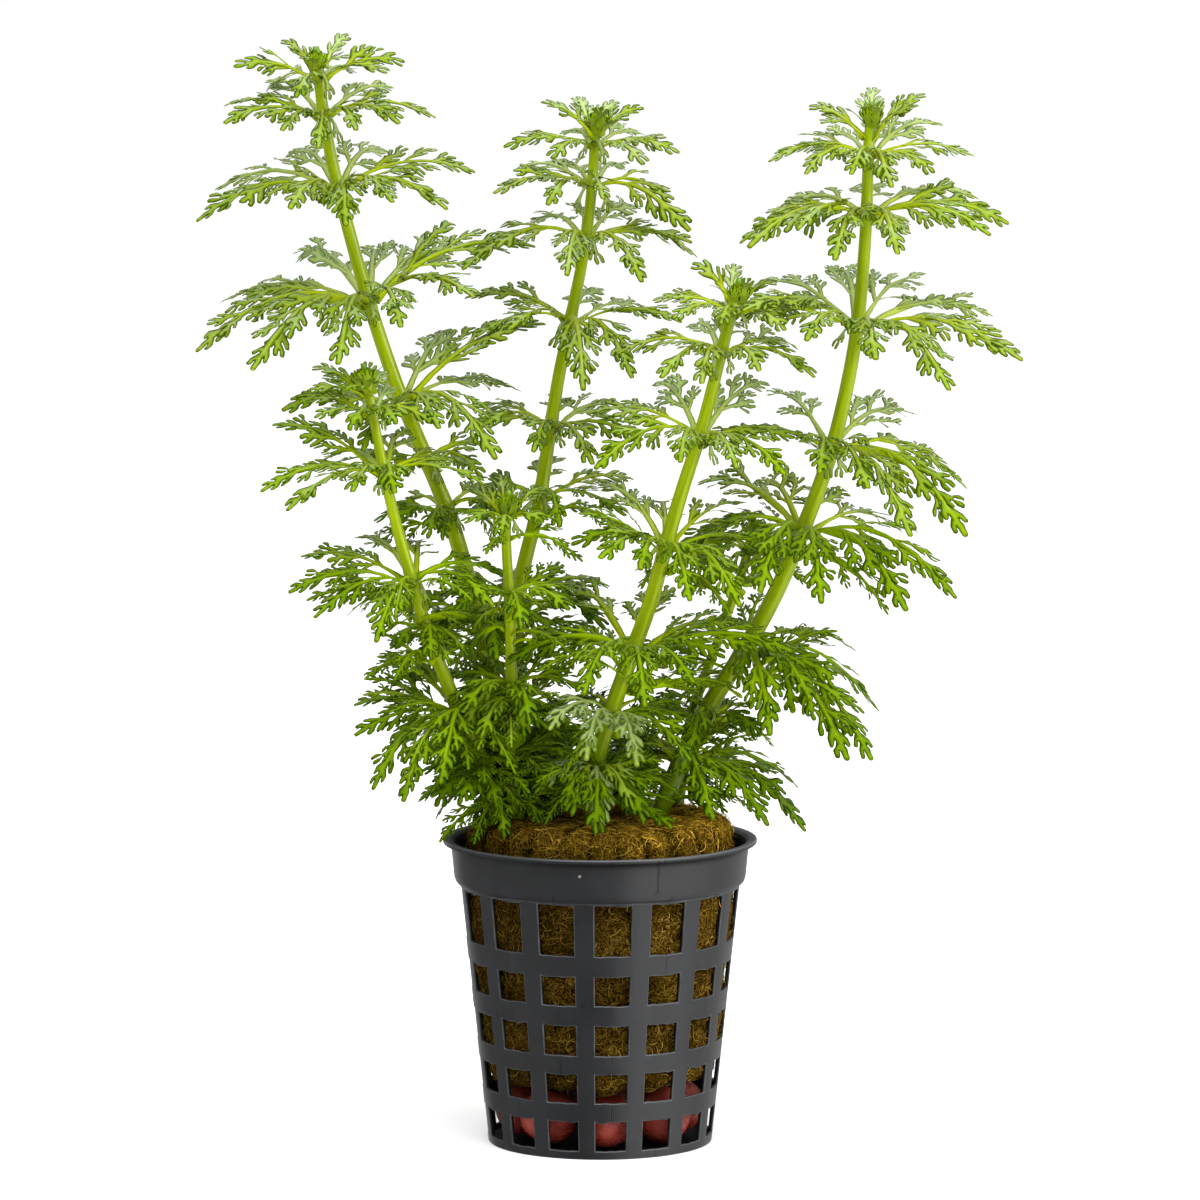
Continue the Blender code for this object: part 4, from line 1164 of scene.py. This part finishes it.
class Nodes:
    """Short ways to build shader nodes."""

    def __init__(self, tree):
        self.tree = tree

    def node(self, kind, **inputs):
        """A node with its inputs linked or set. A _ in an input's name stands for a space."""
        made = self.tree.nodes.new(kind)
        for key, value in inputs.items():
            self.feed(made.inputs[key.replace("_", " ")], value)
        return made

    def feed(self, socket, value):
        """Link a socket, or set its value."""
        if isinstance(value, bpy.types.NodeSocket):
            self.tree.links.new(value, socket)
        else:
            socket.default_value = value

    def place(self):
        return self.node("ShaderNodeTexCoord").outputs["Object"]

    def xyz(self, vector):
        parts = self.node("ShaderNodeSeparateXYZ", Vector=vector)
        return [parts.outputs[axis] for axis in "XYZ"]

    def attribute(self, name):
        made = self.tree.nodes.new("ShaderNodeAttribute")
        made.attribute_name = name
        return made

    def channels(self, name):
        parts = self.node("ShaderNodeSeparateColor", Color=self.attribute(name).outputs["Color"])
        return [parts.outputs[k] for k in ("Red", "Green", "Blue")]

    def math(self, operation, *values):
        made = self.tree.nodes.new("ShaderNodeMath")
        made.operation = operation
        for socket, value in zip(made.inputs, values):
            self.feed(socket, value)
        return made.outputs[0]

    def times(self, *values):
        """The product of two or more values."""
        product = values[0]
        for value in values[1:]:
            product = self.math("MULTIPLY", product, value)
        return product

    def apart(self, one, two):
        """How far two values are from each other."""
        return self.math("ABSOLUTE", self.math("SUBTRACT", one, two))

    def vector_math(self, operation, one, two=(0, 0, 0), output="Value"):
        made = self.tree.nodes.new("ShaderNodeVectorMath")
        made.operation = operation
        self.feed(made.inputs[0], one)
        self.feed(made.inputs[1], two)
        return made.outputs[output]

    def mix(self, share, one, two, kind="MIX"):
        """A share of the way from one colour to another."""
        made = self.tree.nodes.new("ShaderNodeMix")
        made.data_type = "RGBA"
        made.blend_type = kind
        self.feed(made.inputs["Factor"], share)
        for name, value in (("A", one), ("B", two)):
            self.feed([s for s in made.inputs if s.name == name and s.type == "RGBA"][0], with_alpha(value))
        return [s for s in made.outputs if s.type == "RGBA"][0]

    def tinted(self, color, tint):
        """A colour multiplied by another."""
        return self.mix(1.0, color, tint, "MULTIPLY")

    def ramp(self, value, *stops):
        """Colours along a value from 0 to 1: pairs of a position and a colour, or a grey of one number."""
        made = self.tree.nodes.new("ShaderNodeValToRGB")
        ramp = made.color_ramp
        while len(ramp.elements) < len(stops):
            ramp.elements.new(0.5)
        for element, (at, color) in zip(ramp.elements, stops):
            element.position = at
            element.color = with_alpha(color if isinstance(color, tuple) else (color,) * 3)
        self.feed(made.inputs["Fac"], value)
        return made.outputs["Color"]

    def by_height(self, *stops):
        """Colours or greys by height in mm, up to RAMP_REACH_MM."""
        share = self.times(self.xyz(self.place())[2], 1 / (RAMP_REACH_MM * MM))
        return self.ramp(share, *((at / RAMP_REACH_MM, color) for at, color in stops))

    def by_side(self, *stops):
        """Colours or greys by the distance in mm to the right of the middle, up to half RAMP_WIDTH_MM."""
        x = self.xyz(self.place())[0]
        share = self.math("MULTIPLY_ADD", x, 1 / (RAMP_WIDTH_MM * MM), 0.5)
        return self.ramp(share, *((at / RAMP_WIDTH_MM + 0.5, color) for at, color in stops))

    def near(self, distance, reach, full, none=1.0):
        """1 up to one share of a reach, fading to 0 at another."""
        return self.ramp(self.math("DIVIDE", distance, reach), (full, 1), (none, 0))

    def eased(self, value, start, end):
        """Ease from one pair of a value and a result to another."""
        made = self.node("ShaderNodeMapRange", Value=value, From_Min=start[0], To_Min=start[1],
                         From_Max=end[0], To_Max=end[1])
        made.interpolation_type = "SMOOTHSTEP"
        return made.outputs["Result"]

    def noise(self, scale, detail=4.0, roughness=0.55, where=None, stretch=None):
        """Noise in the object's own space, with features about 1 / scale metres wide."""
        where = where or self.place()
        if stretch:
            where = self.node("ShaderNodeMapping", Vector=where, Scale=stretch).outputs["Vector"]
        made = self.node("ShaderNodeTexNoise", Vector=where, Scale=scale, Detail=detail, Roughness=roughness)
        return made.outputs["Fac"]

    def curls(self, scale, width):
        """Thin curly lines: 1 on a line, 0 between."""
        made = self.node("ShaderNodeTexNoise", Vector=self.place(), Scale=scale, Detail=1.0, Distortion=1.2)
        return self.near(self.apart(made.outputs["Fac"], 0.5), width, 0.0)


class Material(Nodes):
    """The nodes of a new material round its one shader."""

    def __init__(self, name):
        self.material = bpy.data.materials.new(name)
        self.material.use_nodes = True
        super().__init__(self.material.node_tree)
        self.shader = self.tree.nodes["Principled BSDF"]

    def bump(self, height, distance, strength=1.0):
        made = self.node("ShaderNodeBump", Height=height, Distance=distance, Strength=strength)
        self.feed(self.shader.inputs["Normal"], made.outputs["Normal"])

    def finish(self, **inputs):
        """Feed the shader, and return the material."""
        for key, value in inputs.items():
            self.feed(self.shader.inputs[key.replace("_", " ")], with_alpha(value))
        return self.material


STALK_GREEN = (0.330, 0.405, 0.002)
LOBE_GREENS = ((0.0, (0.230, 0.300, 0.072)), (0.20, (0.160, 0.226, 0.017)), (0.45, (0.172, 0.246, 0.022)),
               (0.80, (0.094, 0.148, 0.003)), (1.0, (0.050, 0.082, 0.001)))     # from the veins to the rim
UNDER_STALK, UNDER_LOBE = (0.310, 0.390, 0.020), (0.198, 0.272, 0.042)
# painted sheen of upward faces, standing in for the sky's reflection
SKY_SHEEN_GREEN = (0.310, 0.400, 0.220)
MINT_MIDDLE, MINT_RIM = (0.430, 0.530, 0.250), (0.270, 0.370, 0.130)
# tints for low tones: older leaves and darker tips, and painted shade low on the plant and just above the
# wool
OLD_AND_SHADED_TINTS = ((0.0, (0.38, 0.54, 0.004)), (0.25, (0.74, 0.90, 0.02)), (0.5, 1))


def leaf_material():
    """Yellow-green stalks that turn to mid green lobes with pale veins and darker rims; paler underneath.
    Painted sheen on faces that look up, painted light towards the right and painted backlight on leaves
    behind.
    """
    n = Material("divided leaf")
    green, edge, shade = n.channels("leaf_look")
    tone = n.attribute("leaf_look").outputs["Alpha"]
    under = n.attribute("leaf_under").outputs["Fac"]
    color = n.mix(green, STALK_GREEN, n.ramp(edge, *LOBE_GREENS))
    # The shade channel holds random tone per pinna and painted light that is brighter towards the right.
    color = n.tinted(color, n.ramp(shade, (0.0, (0.74, 0.80, 0.7)), (1.0, (1.20, 1.16, 1.15))))
    color = n.mix(n.times(under, 0.65), color, n.mix(green, UNDER_STALK, UNDER_LOBE))
    # Painted sheen: faces that look up are painted paler in noisy patches, as if they reflected the bright
    # sky.
    upward = n.xyz(n.node("ShaderNodeNewGeometry").outputs["Normal"])[2]
    sky_sheen = n.ramp(upward, (0.45, 0), (0.95, 1))
    patch = n.ramp(n.noise(300, 3), (0.40, 0), (0.66, 1))
    color = n.mix(n.times(sky_sheen, patch, n.times(green, 0.70)), color, SKY_SHEEN_GREEN)
    # High tones turn mint: painted backlight on leaves that grow backward, and a few pale leaves in front.
    pale = n.times(n.ramp(tone, (0.58, 0), (0.86, 1)), 0.75)
    color = n.mix(pale, color, n.mix(edge, MINT_MIDDLE, MINT_RIM))
    # Low tones darken: older leaves, leaf tips, and painted shade at the base.
    color = n.tinted(color, n.ramp(tone, *OLD_AND_SHADED_TINTS))
    n.bump(n.noise(2600, 2), 0.06 * MM, 0.5)
    return n.finish(Base_Color=color, Roughness=0.38, Specular_IOR_Level=0.20,
                    Specular_Tint=(0.90, 1.0, 0.10))


STEM_GREENS = ((0.36, (0.165, 0.235, 0.0)), (0.50, (0.225, 0.310, 0.0)), (0.64, (0.290, 0.380, 0.001)))
KNOT_GREEN, RING_GREEN = (0.300, 0.400, 0.020), (0.110, 0.180, 0.008)
STEM_TINTS = ((0.0, (0.36, 0.46, 0.2)), (0.45, 1), (0.95, 1), (1.0, (0.35, 0.55, 0.5)))  # from foot to top


def stem_material():
    """Lime green, lighter round the nodes, with fine lengthwise streaks under a wet gloss."""
    n = Material("fresh stem")
    knot, ring, height = n.channels("stem_look")
    place = n.attribute("stem_place").outputs["Vector"]
    color = n.ramp(n.noise(1.3, 3, 0.5, where=place), *STEM_GREENS)
    color = n.mix(n.times(knot, 0.45), color, KNOT_GREEN)
    color = n.mix(n.times(ring, 0.45), color, RING_GREEN)
    color = n.tinted(color, n.ramp(height, *STEM_TINTS))
    n.bump(n.noise(5, 2, where=place), 0.06 * MM, 0.5)
    return n.finish(Base_Color=color, Roughness=0.30, Specular_IOR_Level=0.2, Specular_Tint=(0.8, 1.0, 0.1),
                    Coat_Weight=0.8, Coat_Roughness=0.10, Coat_IOR=1.42)


WOOL_BROWNS = ((0.44, (0.001, 0.0005, 0.0)), (0.56, (0.024, 0.013, 0.001)), (0.72, (0.230, 0.140, 0.018)))
WOOL_DAMP = (0.010, 0.005, 0.0005)
# painted shade in the grooves and a little painted light on the lumps, by the surface's relief
GROOVE_SHADE_TINTS = ((0.05, (0.30, 0.28, 0.25)), (0.55, 1), (0.9, 1.2))
# Curly strands of the wool: how fine, how thick, and their colour
STRANDS = ((800, 0.030, (0.360, 0.240, 0.060)), (1300, 0.040, (0.250, 0.160, 0.030)),
           (2100, 0.050, (0.160, 0.098, 0.014)))


def crown_painted_light(n):
    """Painted light and shade: about twice as light above the pot's rim as in it, darker with painted shade
    at the left side and lighter with painted light at the right.
    """
    lit_above_rim = n.by_height((46, (0.95, 0.88, 0.68)), (53, (2.1, 1.95, 1.0)))
    return n.tinted(lit_above_rim, n.by_side((-22.5, (0.55, 0.53, 0.48)), (0, 1), (17.5, (1.90, 1.85, 1.80))))


def wool_material():
    """Matted brown and gold, crossed by fine curly strands, with painted shade in the grooves and the
    crown's painted light and shade.
    """
    n = Material("matted wool")
    wide, fine = n.noise(210, 4), n.noise(2400, 6, 0.7)
    color = n.mix(n.ramp(wide, (0.40, 0), (0.62, 0.8)), n.ramp(fine, *WOOL_BROWNS), WOOL_DAMP)
    height = fine
    for scale, width, strand in STRANDS:
        curl = n.curls(scale, width)
        color = n.mix(n.times(curl, 0.60), color, strand)
        height = n.math("ADD", height, n.times(curl, 0.5))
    # painted light and shade of the crown
    color = n.tinted(color, crown_painted_light(n))
    # Painted shade in the grooves, by the surface's relief.
    relief = n.math("ADD", n.attribute("wool_relief").outputs["Fac"], 0.5)
    color = n.tinted(color, n.ramp(relief, *GROOVE_SHADE_TINTS))
    n.bump(height, 0.5 * MM)
    return n.finish(Base_Color=color, Roughness=0.95, Specular_IOR_Level=0.0)


FIBRE_BROWNS = ((0.0, (0.034, 0.019, 0.001)), (0.6, (0.145, 0.092, 0.010)), (1.0, (0.420, 0.290, 0.070)))


def fibre_material():
    """Fibres from brown to straw."""
    n = Material("wool fibre")
    color = n.ramp(n.attribute("fibre_shade").outputs["Fac"], *FIBRE_BROWNS)
    blotch = n.ramp(n.noise(500, 2), (0.3, (0.03, 0.02, 0.002)), (0.7, (0.26, 0.19, 0.04)))
    # The same painted light and shade as the plug's crown.
    color = n.tinted(n.mix(0.25, color, blotch), crown_painted_light(n))
    return n.finish(Base_Color=color, Roughness=0.7, Specular_IOR_Level=0.04)


def clay_material():
    """Brick red baked clay with fine pores, wet in places."""
    n = Material("baked clay")
    wide, fine = n.noise(260, 4), n.noise(2600, 5, 0.65)
    color = n.ramp(wide, (0.30, (0.150, 0.014, 0.007)), (0.70, (0.330, 0.052, 0.032)))
    color = n.mix(n.ramp(fine, (0.55, 0), (0.80, 0.5)), color, (0.070, 0.010, 0.006))
    n.bump(fine, 0.3 * MM, 0.8)
    return n.finish(Base_Color=color, Roughness=n.ramp(wide, (0.35, 0.14), (0.65, 0.42)))


WELD_AT = math.radians(-90 + 22.2)
WELD_MIDDLE_MM = 47.2
WELD_FORK_MM = 1.9              # from the weld's middle to where it forks, up and down
WELD_SPREAD = 0.022             # radians between a prong and the line, for each mm past the fork
WELD_REACH = 0.008              # half widths in radians
HAIR_REACH = 0.006
CRACK_SWAY = 0.05               # radians by which the lines wander
SPECK_AT = (-3.30 * MM, -24.2 * MM, 47.9 * MM)
SPECK_REACH = 0.4 * MM
CHARCOALS = ((0.30, (0.0135, 0.0140, 0.0150)), (0.70, (0.0185, 0.0192, 0.0205)))
FLOW_GREY = (0.028, 0.029, 0.031)
WORN_GREY = (0.075, 0.078, 0.083)
# painted highlight on upward faces
LEDGE_HIGHLIGHT_GREY = (0.120, 0.124, 0.130)
CRACK_BLACK = (0.004, 0.004, 0.005)
SPECK_WHITE = (0.20, 0.20, 0.19)
# painted shade inside the pot and painted shadow under its lip
SHADE_BLACK = (0.0015, 0.0015, 0.0015)


def pot_cracks(n):
    """1 on the forked weld line of the pot's band and on the hairlines under its windows, 0 elsewhere."""
    x, y, z = n.xyz(n.place())
    sway = n.times(n.math("SUBTRACT", n.noise(260, 3), 0.5), CRACK_SWAY)
    turn = n.math("ADD", n.math("ARCTAN2", y, x), sway)
    fork = n.math("SUBTRACT", n.apart(n.math("DIVIDE", z, MM), WELD_MIDDLE_MM), WELD_FORK_MM)
    prong = n.times(n.math("MAXIMUM", fork, 0.0), WELD_SPREAD)
    band = n.by_height((44.0, 0), (45.0, 1))
    weld = n.times(n.near(n.apart(n.apart(turn, WELD_AT), prong), WELD_REACH, 0.35), band)
    from_first = n.math("SUBTRACT", turn, POT_FIRST_WINDOW - 2 * math.pi)
    hair = n.near(n.math("PINGPONG", from_first, (POT_WINDOW + POT_BAR) / 2), HAIR_REACH, 0.30)
    broken = n.ramp(n.noise(150, 2), (0.48, 0), (0.56, 0.8))
    return n.math("MAXIMUM", weld, n.times(hair, broken, n.math("SUBTRACT", 1.0, band)))


def plastic_material():
    """Charcoal moulded plastic with flow marks, fine cracks and pale worn edges, a dull inside with painted
    shade, a painted shadow under the lip and painted highlights on upward faces.
    """
    n = Material("charcoal plastic")
    wide, flow = n.noise(90, 5), n.noise(260, 3, stretch=(1.0, 1.0, 0.12))
    x, y, _ = n.xyz(n.place())
    level = n.node("ShaderNodeCombineXYZ", X=x, Y=y).outputs[0]
    facing = n.node("ShaderNodeNewGeometry").outputs["True Normal"]
    outward = n.vector_math("NORMALIZE", level, output="Vector")
    inward = n.math("MULTIPLY_ADD", n.vector_math("DOT_PRODUCT", facing, outward), -0.5, 0.5)
    radius = n.math("DIVIDE", n.vector_math("LENGTH", level), 20 * MM)
    # Painted light from the right: 0.4 at the left, 1 right of the middle; it weights the painted shadow
    # under the lip and the painted highlight.
    side = n.by_side((-12.5, 0.4), (5, 1))
    under_band = n.by_height((43.05, 1), (43.15, 0))

    color = n.mix(n.ramp(flow, (0.50, 0), (0.80, 0.35)), n.ramp(wide, *CHARCOALS), FLOW_GREY)
    edge = n.ramp(inward, (0.020, 0), (0.035, 1), (0.30, 1), (0.33, 0))
    wear = n.ramp(n.noise(400, 3), (0.35, 0.15), (0.65, 0.75))
    color = n.mix(n.times(edge, under_band, wear), color, WORN_GREY)
    cracks = pot_cracks(n)
    color = n.mix(n.times(cracks, 0.80), color, CRACK_BLACK)
    speck = n.near(n.vector_math("DISTANCE", n.place(), SPECK_AT), SPECK_REACH, 0.45, 0.75)
    color = n.mix(speck, color, SPECK_WHITE)

    # Painted shadow under the lip, stronger to the right, and painted shade on the inner faces and the floor
    # inside.
    lip_shadow = n.times(n.by_height((48.95, 0), (49.75, 1), (50.00, 1), (50.12, 0)), side)
    inside = n.ramp(inward, (0.32, 0), (0.42, 0.85), (0.60, 1))
    inside = n.math("MAXIMUM", inside, n.ramp(radius, (0.86, 1), (0.88, 0)))
    painted_shade = n.math("MAXIMUM", inside, lip_shadow)
    color = n.mix(n.times(painted_shade, 0.85), color, SHADE_BLACK)
    # Painted highlight: outer faces that look up are painted paler, more to the right and less below the
    # band.
    upward = n.xyz(facing)[2]
    fainter = n.math("SUBTRACT", 1.0, n.times(under_band, 0.6))
    on_outside = n.ramp(radius, (0.86, 0), (0.88, 1))
    ledge_highlight = n.times(n.ramp(upward, (0.30, 0), (0.60, 1)), side, on_outside, fainter)
    color = n.mix(ledge_highlight, color, LEDGE_HIGHLIGHT_GREY)

    rough = n.math("ADD", n.ramp(wide, (0.30, 0.27), (0.75, 0.33)), n.times(inside, 0.4))
    gloss = n.math("SUBTRACT", 0.5, n.times(painted_shade, 0.40))
    n.bump(n.math("SUBTRACT", n.times(flow, 0.4), n.times(cracks, 1.5)), 0.05 * MM, 0.6)
    return n.finish(Base_Color=color, Roughness=rough, Specular_IOR_Level=gloss)


def paint(thing, material):
    """Give a thing one material."""
    thing.data.materials.clear()
    thing.data.materials.append(material)


def add_area_light(name, place, aim, size, power):
    """A soft square light."""
    data = bpy.data.lights.new(name, "AREA")
    data.size = size
    data.energy = power
    light = bpy.data.objects.new(name, data)
    light.location = place
    light.rotation_euler = (Vector(aim) - Vector(place)).to_track_quat("-Z", "Y").to_euler()
    bpy.context.scene.collection.objects.link(light)


def dim_reflections(world):
    """White surroundings. Glosses see them dark in front, and brighter at the right, behind and above."""
    world.use_nodes = True
    n = Nodes(world.node_tree)
    x, y, z = n.xyz(n.node("ShaderNodeTexCoord").outputs["Generated"])
    seen = n.times(n.eased(x, (0.10, 0.02), (0.52, 1.20)), n.eased(y, (-0.30, 1.0), (0.35, 0.45)))
    left = n.eased(x, (-0.80, 0.20), (-0.40, 0.0))
    behind = n.eased(y, (0.58, 0.0), (0.98, 0.55))
    above = n.eased(z, (0.30, 0.0), (0.90, 0.80))
    for light in (left, behind, above):
        seen = n.math("MAXIMUM", seen, light)
    in_gloss = n.node("ShaderNodeLightPath").outputs["Is Glossy Ray"]
    strength = n.node("ShaderNodeMix", Factor=in_gloss, A=SURROUNDINGS, B=seen).outputs["Result"]
    background = world.node_tree.nodes["Background"]
    n.feed(background.inputs["Color"], (1, 1, 1, 1))
    n.feed(background.inputs["Strength"], strength)


def set_stage():
    """White floor, even white surroundings, soft lights and the photograph's camera."""
    bpy.ops.mesh.primitive_plane_add(size=40, location=(0, 0, 0))
    floor = bpy.context.object
    floor.name = "floor"
    n = Material("white paper")
    white = n.ramp(n.noise(3, 2), (0.3, 0.94), (0.7, 0.95))
    paint(floor, n.finish(Base_Color=white, Roughness=0.9, Specular_IOR_Level=0.1))
    floor.visible_glossy = False
    world = bpy.data.worlds.new("surroundings")
    bpy.context.scene.world = world
    dim_reflections(world)
    add_area_light("key", (0.15, -0.40, 1.10), (0, 0, 0.1), 0.90, 11)
    add_area_light("fill", (-0.50, -0.40, 0.90), (0, 0, 0.0), 0.70, 3)
    add_area_light("side", (0.75, -0.50, 0.40), (0, 0, 0.08), 0.60, 5)
    camera = bpy.data.cameras.new("camera")
    camera.lens = CAMERA_LENS_MM
    camera.sensor_width = CAMERA_SENSOR_MM
    viewer = bpy.data.objects.new("camera", camera)
    viewer.location = CAMERA_PLACE
    viewer.rotation_euler = (math.pi / 2 - CAMERA_PITCH, 0, 0)
    bpy.context.scene.collection.objects.link(viewer)
    bpy.context.scene.camera = viewer
    bpy.context.scene.view_settings.view_transform = "Standard"


def place_piece(piece, material):
    """Give a piece its material, and hang it under the root body."""
    paint(piece, material)
    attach(piece, "root")


def main():
    """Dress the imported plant."""
    dice = random.Random(11)
    nodes, whorls = make_whorls(Plans())
    leaf = leaf_material()
    for whorl in whorls:
        place_piece(whorl, leaf)
    green = stem_material()
    for shoot in sorted(nodes):
        stem = make_stem(shoot, nodes[shoot], dice)
        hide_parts(f"shoot_{shoot}_stem")
        place_piece(stem, green)
    wool = Wool()
    plug, fibres = make_wool(wool), make_fibres(wool, dice)
    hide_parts("rock_wool")
    place_piece(plug, wool_material())
    place_piece(fibres, fibre_material())
    clay = clay_material()
    for name in sorted(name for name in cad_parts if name.startswith("clay_ball")):
        place_piece(make_clay_ball(name), clay)
    place_piece(make_pot(dice), plastic_material())
    set_stage()


main()
